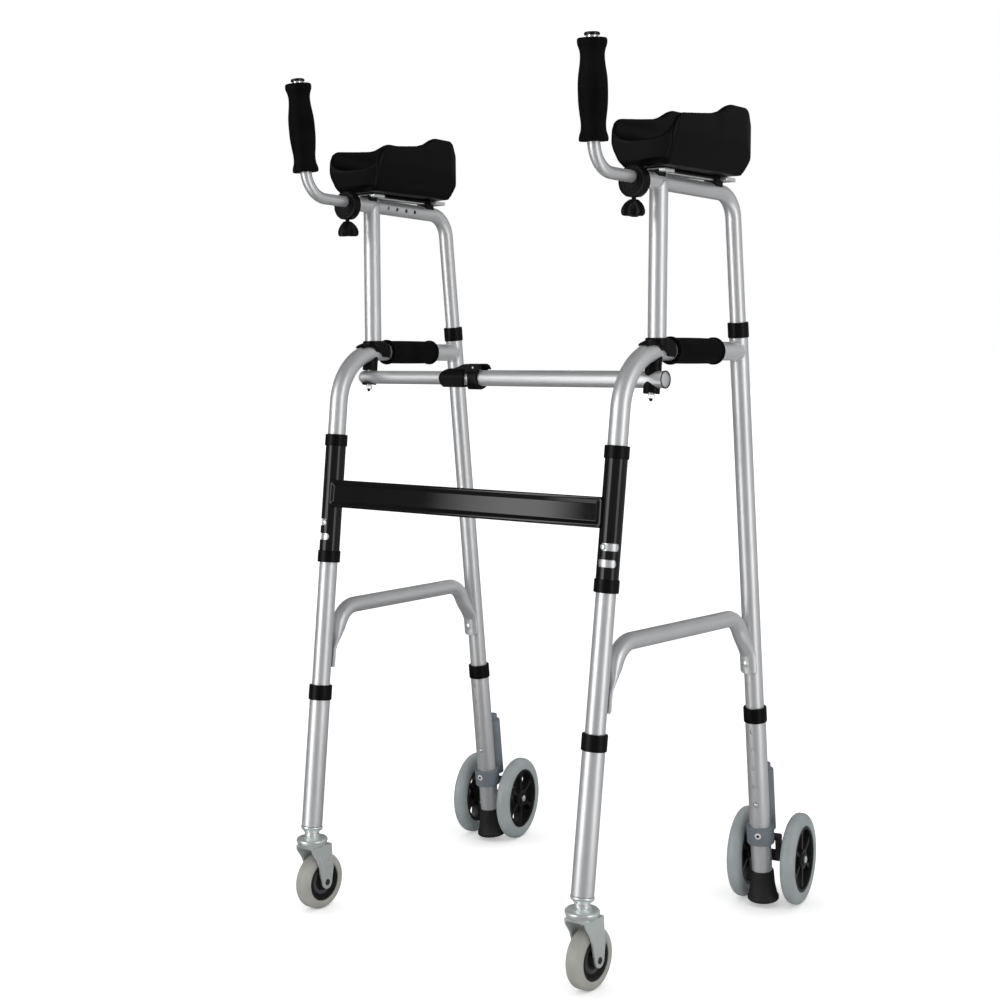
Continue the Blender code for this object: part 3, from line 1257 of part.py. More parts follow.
def build_frame(prefix, side, fold, looks):
    """Tubes and fittings that turn with one side frame."""
    frame = SIDE_FRAME
    piece(prefix + "main_tube", main_tube(), fold, frame, looks["aluminium"], side)
    piece(prefix + "rear_leg", rear_leg(), fold, rear_unit(side), looks["aluminium"], side)
    piece(prefix + "lower_brace", lower_brace(), fold, frame, looks["aluminium"], side)
    rail = frame @ move(0, RAIL_GRIP_START, HANDRAIL_HEIGHT) @ turn(-90, "X")
    piece(prefix + "rail_grip", rail_grip(), fold, rail, looks["foam"], side)
    piece(prefix + "forearm_post", forearm_post(), fold, frame, looks["aluminium"], side)
    piece(prefix + "forearm_tube", forearm_tube(), fold, frame, looks["aluminium"], side)
    piece(prefix + "post_saddle", post_saddle(), fold, frame, looks["black_plastic"], side)
    rise, drop = (SADDLE_WASHER_RISE, SADDLE_WASHER_DROP) if side > 0 else (THIN_BAR_DIAMETER / 2 + GAP,) * 2
    bolt = pivot_bolt(rise + GAP, drop + GAP)
    piece(prefix + "pivot_bolt", bolt, fold, frame @ PIVOT_AXIS, looks["zinc"], side)
    piece(prefix + "pad_plate", pad_plate(), fold, frame, looks["zinc"], side)
    piece(prefix + "forearm_pad", forearm_pad(), fold, frame, looks["pad"], side)
    piece(prefix + "rod_clamp", rod_clamp(), fold, frame @ ARM_TUBE_AXIS, looks["black_plastic"], side)


def build_grip(prefix, side, fold, looks):
    frame = SIDE_FRAME
    slide = joint(prefix + "grip_slide", fold, sided(frame @ ARM_TUBE_AXIS @ turn(180, "X"), side))
    piece(prefix + "grip_rod", grip_rod(), slide, frame, looks["aluminium"], side)
    piece(prefix + "hand_grip", hand_grip(), slide, frame @ grip_place(), looks["foam"], side)
    clamp_middle = ARM_TUBE_AXIS @ move(0, 0, CLAMP_SEAT - CLAMP_LENGTH / 2)
    below = CLAMP_DROP + CLAMP_DIAMETER / 2 - CLAMP_FLAT + KNOB_STEM_LENGTH
    knob_top = clamp_middle @ move(0, below, 0) @ turn(90, "X")
    spin = joint(prefix + "knob_turn", fold, sided(frame @ knob_top, side))
    piece(prefix + "clamp_knob", clamp_knob(), spin, frame @ knob_top, looks["black_plastic"], side)


def build_front_leg(prefix, side, fold, looks):
    frame = SIDE_FRAME
    down = FRONT_AXIS @ turn(180, "X")
    slide = joint(prefix + "front_extension_slide", fold, sided(frame @ down, side))
    piece(prefix + "front_extension", front_extension(), slide, frame @ FRONT_AXIS, looks["aluminium"], side)
    piece(prefix + "castor_plate", castor_plate(), slide, frame, looks["zinc"], side)
    upright = Matrix.Translation((frame @ Vector((0, 0, CASTOR_PLATE_HEIGHT))))
    floor = upright @ move(0, 0, -(frame @ Vector((0, 0, CASTOR_PLATE_HEIGHT))).z)
    swivel = joint(prefix + "castor_swivel", slide, sided(upright, side))
    piece(prefix + "castor_fork", castor_fork(), swivel, floor, looks["zinc"], side)
    axle = floor @ move(0, CASTOR_TRAIL, CASTOR_WHEEL_DIAMETER / 2) @ turn(90, "Y")
    spin = joint(prefix + "castor_spin", swivel, sided(axle, side))
    piece(prefix + "castor_wheel", castor_wheel(), spin, axle, looks["castor_tyre"], side)
    button = button_place(FRONT_AXIS, along_front(FRONT_BUTTON_HEIGHT), 1)
    press = joint(prefix + "front_button_press", slide, sided(frame @ button, side))
    piece(prefix + "front_snap_button", snap_button(), press, frame @ button, looks["zinc"], side)


def build_rear_leg(prefix, side, fold, looks):
    unit = rear_unit(side)
    slide = joint(prefix + "rear_extension_slide", fold, sided(unit @ turn(180, "X"), side))
    piece(prefix + "rear_extension", rear_extension(), slide, unit, looks["aluminium"], side)
    piece(prefix + "rubber_tip", rubber_tip(), slide, unit, looks["rubber"], side)
    piece(prefix + "brake_housing", brake_housing(), slide, unit, looks["blue_grey"], side)
    brake = joint(prefix + "brake_slide", slide, sided(unit @ move(0, REAR_AXLE_DISTANCE, 0), side))
    piece(prefix + "axle_arm", axle_arm(side), brake, unit, looks["dark_steel"], side)
    for which, where in (("inner", -1), ("outer", 1)):
        axle = rear_axle(side) @ move(0, 0, where * REAR_WHEEL_SPACING / 2)
        spin = joint(prefix + which + "_wheel_spin", brake, sided(axle, side))
        piece(prefix + which + "_wheel", rear_wheel(), spin, axle, looks["rear_tyre"], side)
    button = button_place(unit, along_rear(REAR_BUTTON_HEIGHT), -1)
    press = joint(prefix + "rear_button_press", slide, sided(button, side))
    piece(prefix + "rear_snap_button", snap_button(), press, button, looks["zinc"], side)


def build_bar(folds, looks):
    """The two halves of the telescopic bar, each on its own frame's bolt."""
    pivot = SIDE_FRAME @ PIVOT_AXIS
    right = joint("right_bar_pivot", folds["right_"], pivot)
    left = joint("left_bar_pivot", folds["left_"], sided(pivot, -1))
    piece("right_bar_tube", right_bar_tube(), right, bar_place(), looks["aluminium"])
    piece("left_bar_tube", left_bar_tube(), left, bar_place(), looks["aluminium"])
    piece("right_bar_saddle_upper", saddle_washer(SADDLE_WASHER_LIP, SADDLE_WASHER_RISE), right, pivot,
          looks["black_plastic"])
    piece("right_bar_saddle_lower", saddle_washer(-SADDLE_WASHER_DROP, -SADDLE_WASHER_LIP), right, pivot,
          looks["black_plastic"])
    piece("bar_lock_collar", bar_lock_collar(), right, bar_place(), looks["black_plastic"])
    hinge = joint("bar_lock_hinge", right, bar_place() @ move(LOCK_PIN_X, 0, LOCK_PIN_RISE) @ turn(-90, "X"))
    piece("bar_lock_lever", bar_lock_lever(), hinge, bar_place(), looks["black_plastic"])


def centre_on_floor(root):
    """Moves the walker so that the middle of its base is the origin."""
    bpy.context.view_layer.update()
    corners = [
        obj.matrix_world @ vertex.co
        for obj in bpy.data.collections[COLLECTION_NAME].objects if obj.type == "MESH"
        for vertex in obj.data.vertices
    ]
    low = Vector([min(corner[i] for corner in corners) for i in range(3)])
    high = Vector([max(corner[i] for corner in corners) for i in range(3)])
    root.location -= Vector(((low.x + high.x) / 2, (low.y + high.y) / 2, low.z))


def main():
    for obj in list(bpy.data.objects):
        bpy.data.objects.remove(obj)
    collection = bpy.data.collections.new(COLLECTION_NAME)
    bpy.context.scene.collection.children.link(collection)
    looks = make_materials()
    root = joint("walker", None, Matrix.Identity(4))
    piece("front_brace", front_brace(), root, Matrix.Identity(4), looks["gloss_black"])
    folds = {}
    for prefix, side in (("right_", 1), ("left_", -1)):
        fold = joint(prefix + "fold", root, sided(SIDE_FRAME @ FRONT_AXIS, side))
        folds[prefix] = fold
        build_frame(prefix, side, fold, looks)
        build_grip(prefix, side, fold, looks)
        build_front_leg(prefix, side, fold, looks)
        build_rear_leg(prefix, side, fold, looks)
    build_bar(folds, looks)
    centre_on_floor(root)
    bpy.context.view_layer.update()


main()
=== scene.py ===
import math

import bmesh
import bpy
from mathutils import Matrix, Vector
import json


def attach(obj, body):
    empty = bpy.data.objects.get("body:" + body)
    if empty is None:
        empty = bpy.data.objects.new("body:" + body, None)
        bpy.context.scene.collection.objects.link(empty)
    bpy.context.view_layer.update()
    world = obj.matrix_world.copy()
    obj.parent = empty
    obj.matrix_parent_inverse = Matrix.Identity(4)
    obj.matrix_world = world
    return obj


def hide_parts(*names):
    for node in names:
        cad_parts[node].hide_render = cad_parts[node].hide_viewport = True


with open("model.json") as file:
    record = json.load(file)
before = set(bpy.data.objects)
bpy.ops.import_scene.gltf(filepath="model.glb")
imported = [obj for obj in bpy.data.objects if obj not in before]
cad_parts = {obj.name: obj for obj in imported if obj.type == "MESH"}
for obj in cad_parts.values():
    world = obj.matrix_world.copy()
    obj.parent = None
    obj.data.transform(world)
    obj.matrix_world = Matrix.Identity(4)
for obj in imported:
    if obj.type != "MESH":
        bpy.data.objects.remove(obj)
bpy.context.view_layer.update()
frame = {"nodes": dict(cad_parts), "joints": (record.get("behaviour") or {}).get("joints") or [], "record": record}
print("frame loaded:", len(frame["nodes"]), "nodes")

# How a side frame stands, in metres and degrees: n outward, s rearward and z up
stance = {
    "halfWidth": 0.2306, "lean": 0.86, "toe": 2.2, "frontRake": 6.28, "rearRake": 6.0,
    "footHeight": 0.117, "railHeight": 0.7785, "rearLegS": 0.3345, "unitTurn": 11.0,
    "legDiameter": 0.0254, "tubeWall": 0.0014,
}
fit = {"seated": 0.0003, "sliding": 0.00045}
seated, sliding = fit["seated"], fit["sliding"]
sides = {"right_": 1, "left_": -1}
mirror = Matrix.Scale(-1, 4, Vector((1, 0, 0)))
stand = Matrix(((0, 0, 1, 0), (1, 0, 0, 0), (0, 1, 0, 0), (0, 0, 0, 1)))  # an outline's x and y to s and z


def move(x, y, z):
    return Matrix.Translation((x, y, z))


def turn(angle, axis):
    return Matrix.Rotation(math.radians(angle), 4, axis)


def slopeOf(name):
    return math.tan(math.radians(stance[name]))


sideFrame = move(stance["halfWidth"], 0, 0) @ turn(-stance["toe"], "Z") @ turn(stance["lean"], "Y")
frontAxis = move(0, 0, stance["footHeight"]) @ turn(-stance["frontRake"], "X")
rearAxis = move(0, stance["rearLegS"], stance["railHeight"]) @ turn(stance["rearRake"], "X")
foot = (sideFrame @ frontAxis).translation
hinge = next(joint["pos_m"] for joint in frame["joints"] if joint["name"] == "right_fold")
offset = move(hinge[0] - foot.x, hinge[1] - foot.y, 0)  # from these sizes to the frame's origin
legRadius = stance["legDiameter"] / 2


def frontS(height):
    return (height - stance["footHeight"]) * slopeOf("frontRake")


def rearS(height):
    return stance["rearLegS"] + (stance["railHeight"] - height) * slopeOf("rearRake")


def alongFront(height):
    return (height - stance["footHeight"]) / math.cos(math.radians(stance["frontRake"]))


def alongRear(height):
    return (height - stance["railHeight"]) / math.cos(math.radians(stance["rearRake"]))


def rearUnit(side):
    return sideFrame @ rearAxis @ turn(side * stance["unitTurn"] + stance["toe"], "Z")


# Mesh tools

def workObject(data, name="work"):
    made = bpy.data.objects.new(name, data)
    bpy.context.scene.collection.objects.link(made)
    return made


def reworked(mesh, change):
    form = bmesh.new()
    form.from_mesh(mesh)
    change(form)
    form.to_mesh(mesh)
    form.free()
    return mesh


def settled(made):
    # the mesh that modifiers or a curve give, with its caps welded on
    bpy.context.view_layer.update()
    depsgraph = bpy.context.evaluated_depsgraph_get()
    mesh = bpy.data.meshes.new_from_object(made.evaluated_get(depsgraph), depsgraph=depsgraph)
    bpy.data.objects.remove(made)
    return reworked(mesh, lambda form: bmesh.ops.remove_doubles(form, verts=form.verts, dist=0.000002))


def facingOut(mesh):
    return reworked(mesh, lambda form: bmesh.ops.recalc_face_normals(form, faces=form.faces))


def moved(mesh, place):
    copy = mesh.copy()
    copy.transform(place)
    return copy


def combined(base, tools, operation):
    made = workObject(base)
    helpers = [workObject(tool) for tool in tools]
    for helper in helpers:
        boolean = made.modifiers.new(operation.lower(), "BOOLEAN")
        boolean.operation = operation
        boolean.object = helper
    mesh = settled(made)
    for helper in helpers:
        bpy.data.objects.remove(helper)
    return mesh


def cut(base, *tools):
    return combined(base, tools, "DIFFERENCE")


def common(base, *tools):
    return combined(base, tools, "INTERSECT")


def united(base, *tools):
    return combined(base, tools, "UNION")


def finished(form, name):
    mesh = bpy.data.meshes.new(name)
    form.to_mesh(mesh)
    form.free()
    return mesh


def gathered(*meshes):
    # several closed shells in one mesh
    form = bmesh.new()
    for mesh in meshes:
        form.from_mesh(mesh)
    return finished(form, "gathered")


def turned(profile, steps=64):
    # (radius, height) points; a closed ring where the first is off the axis
    mesh = bpy.data.meshes.new("profile")
    count = len(profile)
    edges = [(i, (i + 1) % count) for i in range(count if profile[0][0] > 0 else count - 1)]
    mesh.from_pydata([(radius, 0, height) for radius, height in profile], edges, [])
    made = workObject(mesh)
    screw = made.modifiers.new("turn", "SCREW")
    screw.steps = steps
    screw.render_steps = steps
    screw.use_merge_vertices = True
    screw.merge_threshold = 0.00001
    return facingOut(settled(made))


def evenTurned(right, steps):
    # a turned form whose second half mirrors the first
    return turned(right + [(radius, -height) for radius, height in right[::-1]], steps)


def bothEnds(profile, steps):
    # two turned forms that face each other along the axis
    return gathered(*[turned([(radius, end * height) for radius, height in profile], steps)
                      for end in (1, -1)])


def ringBar(outer, inner, bottom, top, soft=0.0008, steps=64):
    # a ring with softened outer edges, or a bar where inner is 0
    part = soft * 0.3
    return turned([(inner, top), (outer - soft, top), (outer - part, top - part), (outer, top - soft),
                   (outer, bottom + soft), (outer - part, bottom + part), (outer - soft, bottom),
                   (inner, bottom)], steps)


def rod(diameter, bottom, top, steps=48, chamfer=0.0):
    radius = diameter / 2
    if chamfer:
        return ringBar(radius, 0, bottom, top, chamfer, steps)
    return turned([(0, top), (radius, top), (radius, bottom), (0, bottom)], steps)


def slab(size, centre, bevel=0.0, segments=3):
    form = bmesh.new()
    bmesh.ops.create_cube(form, size=1.0, matrix=Matrix.Translation(centre) @ Matrix.Diagonal((*size, 1)))
    if bevel:
        bmesh.ops.bevel(form, geom=form.edges[:], offset=bevel, segments=segments, affect="EDGES",
                        profile=0.5)
    return finished(form, "slab")


def bevelled(mesh, width, segments=3, angle=35):
    made = workObject(mesh)
    bevel = made.modifiers.new("bevel", "BEVEL")
    bevel.width = width
    bevel.segments = segments
    bevel.limit_method = "ANGLE"
    bevel.angle_limit = math.radians(angle)
    return settled(made)


def prism(outline, thickness, bevel=0.0):
    curve = bpy.data.curves.new("outline", "CURVE")
    curve.dimensions = "2D"
    curve.fill_mode = "BOTH"
    curve.extrude = thickness / 2
    spline = curve.splines.new("POLY")
    spline.points.add(len(outline) - 1)
    for point, (x, y) in zip(spline.points, outline):
        point.co = (x, y, 0, 1)
    spline.use_cyclic_u = True
    mesh = facingOut(settled(workObject(curve)))
    return bevelled(mesh, bevel) if bevel else mesh


def lofted(rings, closed=False):
    # a skin through rings of one count, capped at both ends or closed on itself
    form = bmesh.new()
    loops = [[form.verts.new(point) for point in ring] for ring in rings]
    pairs = list(zip(loops, loops[1:]))
    if closed:
        pairs.append((loops[-1], loops[0]))
    for near, far in pairs:
        for i in range(len(near)):
            j = (i + 1) % len(near)
            form.faces.new((near[i], near[j], far[j], far[i]))
    if not closed:
        form.faces.new(loops[0])
        form.faces.new(loops[-1])
    bmesh.ops.recalc_face_normals(form, faces=form.faces)
    return finished(form, "loft")


def moulded(mesh, voxel, smoothing):
    # one rounded skin over a sharp form
    made = workObject(mesh)
    remesh = made.modifiers.new("skin", "REMESH")
    remesh.mode = "VOXEL"
    remesh.voxel_size = voxel
    smooth = made.modifiers.new("round", "SMOOTH")
    smooth.iterations = smoothing
    smooth.factor = 0.5
    return settled(made)


def circle(count):
    return [2 * math.pi * i / count for i in range(count)]


def arc(centre, radius, start, end, steps):
    angles = [math.radians(start + (end - start) * i / steps) for i in range(steps + 1)]
    return [(centre[0] + radius * math.cos(a), centre[1] + radius * math.sin(a)) for a in angles]


def hexagon(radius):
    return [(radius * math.cos(math.radians(60 * i)), radius * math.sin(math.radians(60 * i)))
            for i in range(6)]


def squared(value):
    # a sine or cosine pushed out, so that an oval comes nearer to a box
    return math.copysign(abs(value) ** 0.75, value)


def rounded(corners, radius, steps=24):
    # a route through corner points, with an arc at each inner corner
    corners = [Vector(corner) for corner in corners]
    route = [corners[0]]
    for before, corner, after in zip(corners, corners[1:], corners[2:]):
        back, ahead = (before - corner).normalized(), (after - corner).normalized()
        half = back.angle(ahead) / 2
        centre = corner + (back + ahead).normalized() * radius / math.sin(half)
        first = corner + back * radius / math.tan(half) - centre
        last = corner + ahead * radius / math.tan(half) - centre
        axis = first.cross(last).normalized()
        sweep = math.pi - 2 * half
        route += [centre + Matrix.Rotation(sweep * i / steps, 3, axis) @ first for i in range(steps + 1)]
    route.append(corners[-1])
    return route


def ringAt(point, across, up, radius, count):
    return [point + (across * math.cos(a) + up * math.sin(a)) * radius for a in circle(count)]


def tubeRings(route, radius, count=48):
    # rings carried along a route without twist
    route = [Vector(point) for point in route]
    last = len(route) - 1
    ahead = [(route[min(i + 1, last)] - route[max(i - 1, 0)]).normalized() for i in range(last + 1)]
    across = ahead[0].orthogonal().normalized()
    rings = []
    for point, along in zip(route, ahead):
        across = (across - along * across.dot(along)).normalized()
        rings.append(ringAt(point, across, along.cross(across), radius, count))
    return rings


def solidTube(route, diameter, count=48):
    return lofted(tubeRings(route, diameter / 2, count))


def hollowTube(route, diameter, bore, count=48):
    return lofted(tubeRings(route, diameter / 2, count) + tubeRings(route, bore / 2, count)[::-1], True)


def weldBead(route, radius, axis):
    # a closed ring of weld, with one fixed direction across it
    route, axis = [Vector(point) for point in route], Vector(axis)
    rings = []
    for i, point in enumerate(route):
        along = (route[(i + 1) % len(route)] - route[i - 1]).normalized()
        across = (axis - along * axis.dot(along)).normalized()
        rings.append(ringAt(point, across, along.cross(across), radius, 10))
    return lofted(rings, True)


def roundedRectangle(halfX, halfZ, corner, y):
    ring = []
    for signX, signZ, start in ((1, 1, 0), (-1, 1, 90), (-1, -1, 180), (1, -1, 270)):
        centre = (signX * (halfX - corner), signZ * (halfZ - corner))
        ring += [(x, y, z) for x, z in arc(centre, corner, start, start + 90, 8)]
    return ring


def softened(points, steps=3):
    # a smooth run through profile points
    fine = []
    for i in range(len(points) - 1):
        before, start = points[max(i - 1, 0)], points[i]
        end, after = points[i + 1], points[min(i + 2, len(points) - 1)]
        for t in [k / steps for k in range(steps)]:
            fine.append(tuple(
                0.5 * (2 * b + (c - a) * t + (2 * a - 5 * b + 4 * c - d) * t * t
                       + (3 * b - a - 3 * c + d) * t ** 3)
                for a, b, c, d in zip(before, start, end, after)))
    return fine + [points[-1]]


def piece(name, mesh, look, body, side, place, stands=(), sharp=35, slot=None):
    # a mesh made for the right side, set in the walker's frame and mirrored for the left
    mesh = moved(mesh, place)
    if side < 0:
        mesh.transform(mirror)
        mesh.flip_normals()
    mesh.transform(offset)
    mesh.name = name
    material, usualSlot = finishes[look]
    slot = slot or usualSlot
    mesh.materials.clear()
    mesh.materials.append(material)
    mesh.shade_smooth()
    mesh.set_sharp_from_angle(angle=math.radians(sharp))
    made = workObject(mesh, name)
    weighted = made.modifiers.new("evenShade", "WEIGHTED_NORMAL")
    weighted.keep_sharp = True
    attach(made, body)
    if stands:
        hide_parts(*stands)
    return made


def pair(name, mesh, look, body, place, stands="", sharp=35, slot=None):
    # a piece on each side; mesh and place may be functions of the side
    made = []
    for prefix, side in sides.items():
        made.append(piece(prefix + name, mesh(side) if callable(mesh) else mesh, look, prefix + body, side,
                          place(side) if callable(place) else place, [prefix + stands] if stands else (),
                          sharp, slot))
    return made


# Finishes

def wired(tree, made, inputs):
    # each input takes a value, or a link from another node's output
    for socket, value in inputs.items():
        if isinstance(value, bpy.types.NodeSocket):
            tree.links.new(value, made.inputs[socket])
        else:
            made.inputs[socket].default_value = value
    return made


def node(tree, kind, inputs, operation=None):
    made = tree.nodes.new("ShaderNode" + kind)
    if operation:
        made.operation = operation
    return wired(tree, made, inputs)


def newMaterial(name, colour, roughness, metallic=0.0):
    made = bpy.data.materials.new(name)
    made.use_nodes = True
    made.diffuse_color = (*colour, 1)
    shader = made.node_tree.nodes["Principled BSDF"]
    wired(made.node_tree, shader, {"Base Color": (*colour, 1), "Roughness": roughness, "Metallic": metallic})
    return made, made.node_tree, shader


def grain(tree, scale, detail=3.0, stretch=(1, 1, 1)):
    # noise in the object's own metres
    place = node(tree, "TexCoord", {}).outputs["Object"]
    mapping = node(tree, "Mapping", {"Scale": stretch, "Vector": place})
    inputs = {"Scale": scale, "Detail": detail, "Vector": mapping.outputs["Vector"]}
    return node(tree, "TexNoise", inputs).outputs["Fac"]


def spread(tree, value, low, high, fromLow=0.3, fromHigh=0.7):
    inputs = {"From Min": fromLow, "From Max": fromHigh, "To Min": low, "To Max": high, "Value": value}
    return node(tree, "MapRange", inputs).outputs["Result"]


def tinted(tree, value, dark, light):
    ramp = node(tree, "ValToRGB", {"Fac": value})
    for element, at, colour in zip(ramp.color_ramp.elements, (0.3, 0.7), (dark, light)):
        element.position = at
        element.color = (*colour, 1)
    return ramp.outputs["Color"]


def bumped(tree, value, strength, distance):
    return node(tree, "Bump", {"Strength": strength, "Distance": distance, "Height": value}).outputs["Normal"]


def metalFinish(name, dark, light, roughness, stretch=(1, 1, 0.05), scale=700, bump=0.006):
    # drawn metal: faint lines along the tube and a slow change of shade
    made, tree, shader = newMaterial(name, light, roughness[0], 0.72)
    lines, cloud = grain(tree, scale, 2.0, stretch), grain(tree, 11)
    wired(tree, shader, {"Base Color": tinted(tree, cloud, dark, light),
                         "Roughness": spread(tree, lines, *roughness),
                         "Normal": bumped(tree, lines, bump, 0.0002)})
    return made


def skinFinish(name, dark, light, roughness, scale, strength, distance, gloss, sheen=0.0):
    # moulded or foamed skin: a grain in bump, colour and roughness
    made, tree, shader = newMaterial(name, light, roughness[0])
    fine, cloud = grain(tree, scale), grain(tree, 30, 4.0)
    wired(tree, shader, {"Base Color": tinted(tree, cloud, dark, light),
                         "Roughness": spread(tree, fine, *roughness),
                         "Normal": bumped(tree, fine, strength, distance), "Specular IOR Level": gloss,
                         "Sheen Weight": sheen})
    return made


satin = ((0.74, 0.75, 0.765), (0.81, 0.82, 0.83), (0.35, 0.43))
# slot, dark, light, roughness, then how the lines are stretched, their scale and bump
metals = {
    "satinAluminium": ("aluminium", *satin),
    "crossAluminium": ("aluminium", *satin, (0.05, 1, 1)),
    "railAluminium": ("aluminium", *satin, (1, 0.05, 1)),
    "brightZinc": ("zinc", (0.82, 0.88, 0.87), (0.90, 0.94, 0.93), (0.26, 0.31), (1, 1, 1), 40, 0.0),
    "brightSteel": ("zinc", (0.88, 0.89, 0.90), (0.94, 0.95, 0.95), (0.22, 0.27), (1, 1, 1), 40, 0.0),
    "weldMetal": ("aluminium", (0.66, 0.67, 0.68), (0.78, 0.79, 0.80), (0.46, 0.58), (1, 1, 1), 900, 0.2),
}
# slot, dark, light, roughness, then the grain's scale, strength and depth, the gloss and the sheen
skins = {
    "glossBlack": ("gloss_black", (0.0015, 0.0015, 0.002), (0.003, 0.003, 0.0035), (0.03, 0.05),
                   240, 0.01, 0.0002, 0.42),
    "blackPlastic": ("black_plastic", (0.002, 0.002, 0.002), (0.0045, 0.0045, 0.0045), (0.28, 0.38),
                     1100, 0.1, 0.0002, 0.13),
    "blackFoam": ("foam", (0.0015, 0.0015, 0.0015), (0.004, 0.004, 0.004), (0.55, 0.75),
                  1500, 0.5, 0.0004, 0.07, 0.01),
    "padSkin": ("pad", (0.001, 0.001, 0.0011), (0.0022, 0.0022, 0.0024), (0.32, 0.40),
                1000, 0.12, 0.0003, 0.12),
    "blackRubber": ("rubber", (0.009, 0.009, 0.009), (0.016, 0.016, 0.016), (0.5, 0.68),
                    800, 0.2, 0.0003, 0.4),
    "rearTyre": ("rear_tyre", (0.29, 0.32, 0.325), (0.36, 0.395, 0.40), (0.34, 0.46),
                 600, 0.10, 0.0003, 0.5),
    "castorTyre": ("castor_tyre", (0.34, 0.335, 0.31), (0.42, 0.415, 0.385), (0.36, 0.48),
                   600, 0.10, 0.0003, 0.5),
    "hubPlastic": ("black_plastic", (0.008, 0.008, 0.009), (0.015, 0.015, 0.016), (0.28, 0.42),
                   900, 0.1, 0.0002, 0.4),
    "innerRing": ("black_plastic", (0.05, 0.052, 0.055), (0.08, 0.083, 0.086), (0.3, 0.45),
                  900, 0.1, 0.0002, 0.4),
    "blueGrey": ("blue_grey", (0.13, 0.155, 0.175), (0.175, 0.205, 0.23), (0.38, 0.52),
                 900, 0.1, 0.0002, 0.45),
    "darkSteel": ("dark_steel", (0.02, 0.02, 0.022), (0.036, 0.036, 0.04), (0.3, 0.46),
                  600, 0.1, 0.0002, 0.5),
    "palePlastic": ("zinc", (0.6, 0.6, 0.6), (0.72, 0.72, 0.72), (0.35, 0.5),
                    900, 0.08, 0.0002, 0.4),
}
finishes = {look: (metalFinish(look, *values), slot) for look, (slot, *values) in metals.items()}
finishes |= {look: (skinFinish(look, *values), slot) for look, (slot, *values) in skins.items()}
slotFinish = {}  # a slot's first finish is the one that the plain nodes wear
for material, slot in finishes.values():
    slotFinish.setdefault(slot, material)
for part in frame["record"]["subparts"]:
    shown = frame["nodes"][part["node"]]
    shown.data.materials.clear()
    shown.data.materials.append(slotFinish[part["material_slot"]])
print("finishes set:", len(finishes))

# Front brace: two slotted sleeves and the crossbar
brace = {
    "top": 0.660, "bottom": 0.4805, "outer": 0.0286, "bore": 0.0266, "collar": 0.0318, "collarLength": 0.016,
    "slots": ((0.536, -18), (0.516, -36)), "slotHeight": 0.0094, "slotSweep": 122,
    "barCentre": 0.577, "barHalf": 0.2352, "barHeight": 0.0385, "barDepth": 0.0145, "barCorner": 0.006,
    "rim": 0.0042, "slope": 0.0034, "recess": 0.0022, "wall": 0.0026, "stud": 0.0074, "studReach": 0.0026,
}


def slotTool(height, start):
    # a slot with round ends, as sections round the sleeve
    half, radius = brace["slotHeight"] / 2, brace["outer"] / 2
    inner, outer = brace["bore"] / 2 - 0.0015, brace["collar"] / 2 + 0.001
    count = 60
    rings = []
    for i in range(count + 1):
        angle = math.radians(start - 90 + brace["slotSweep"] * i / count)
        inside = math.radians(min(i, count - i) * brace["slotSweep"] / count) * radius
        reach = half if inside >= half else max(math.sqrt(half ** 2 - (half - inside) ** 2), half * 0.12)
        corners = ((inner, -reach), (outer, -reach), (outer, reach), (inner, reach))
        rings.append([(math.cos(angle) * r, math.sin(angle) * r, z) for r, z in corners])
    return moved(lofted(rings), move(0, 0, alongFront(height)))


def crossbarMesh():
    # rounded sections from the floor of its hollow back, round the edge and into the front recess
    half, high, corner = brace["barHalf"], brace["barHeight"] / 2, brace["barCorner"]
    front = -brace["outer"] / 2 - 0.0012
    back = front + brace["barDepth"]
    rim, foot, recessed = brace["rim"], brace["rim"] + brace["slope"], front + brace["recess"]
    hollow, wall = half - brace["outer"] / 2 - 0.006, brace["wall"]
    rings = [roundedRectangle(hollow, high - wall, 0.002, y) for y in (recessed + wall, back)]
    for inset, radius, y in ((0.0006, corner - 0.0006, back), (0, corner, back - 0.0006),
                             (0, corner, front + 0.0014), (0.0004, corner - 0.0004, front + 0.0005),
                             (0.0013, corner - 0.0013, front), (rim - 0.0005, 0.0030, front),
                             (rim + 0.0006, 0.0026, front + 0.0004), (foot, 0.0018, recessed - 0.0003),
                             (foot + 0.0008, 0.0014, recessed), (foot + 0.0016, 0.0010, recessed)):
        rings.append(roundedRectangle(half - inset, high - inset, radius, y))
    return lofted(rings)


barPlace = move(0, frontS(brace["barCentre"]), brace["barCentre"]) @ turn(-stance["frontRake"], "X")
piece("crossbar", crossbarMesh(), "glossBlack", "front_brace", 1, barPlace, ["front_brace"], 30)
sleeveLow, sleeveHigh = alongFront(brace["bottom"]), alongFront(brace["top"])
sleeveForm = cut(ringBar(brace["outer"] / 2, brace["bore"] / 2, sleeveLow, sleeveHigh, 0.0004, 96),
                 *[slotTool(*slot) for slot in brace["slots"]])
for prefix, side in sides.items():
    place = sideFrame @ frontAxis
    piece(prefix + "sleeve", sleeveForm, "glossBlack", "front_brace", side, place)
    for end, low in (("Upper", sleeveHigh - brace["collarLength"]), ("Lower", sleeveLow)):
        ring = ringBar(brace["collar"] / 2, brace["bore"] / 2 + seated, low - 0.0002,
                       low + brace["collarLength"] + 0.0002, 0.0009)
        piece(prefix + "sleeve" + end + "Collar", ring, "blackPlastic", "front_brace", side, place,
              slot="gloss_black")
print("front brace made")

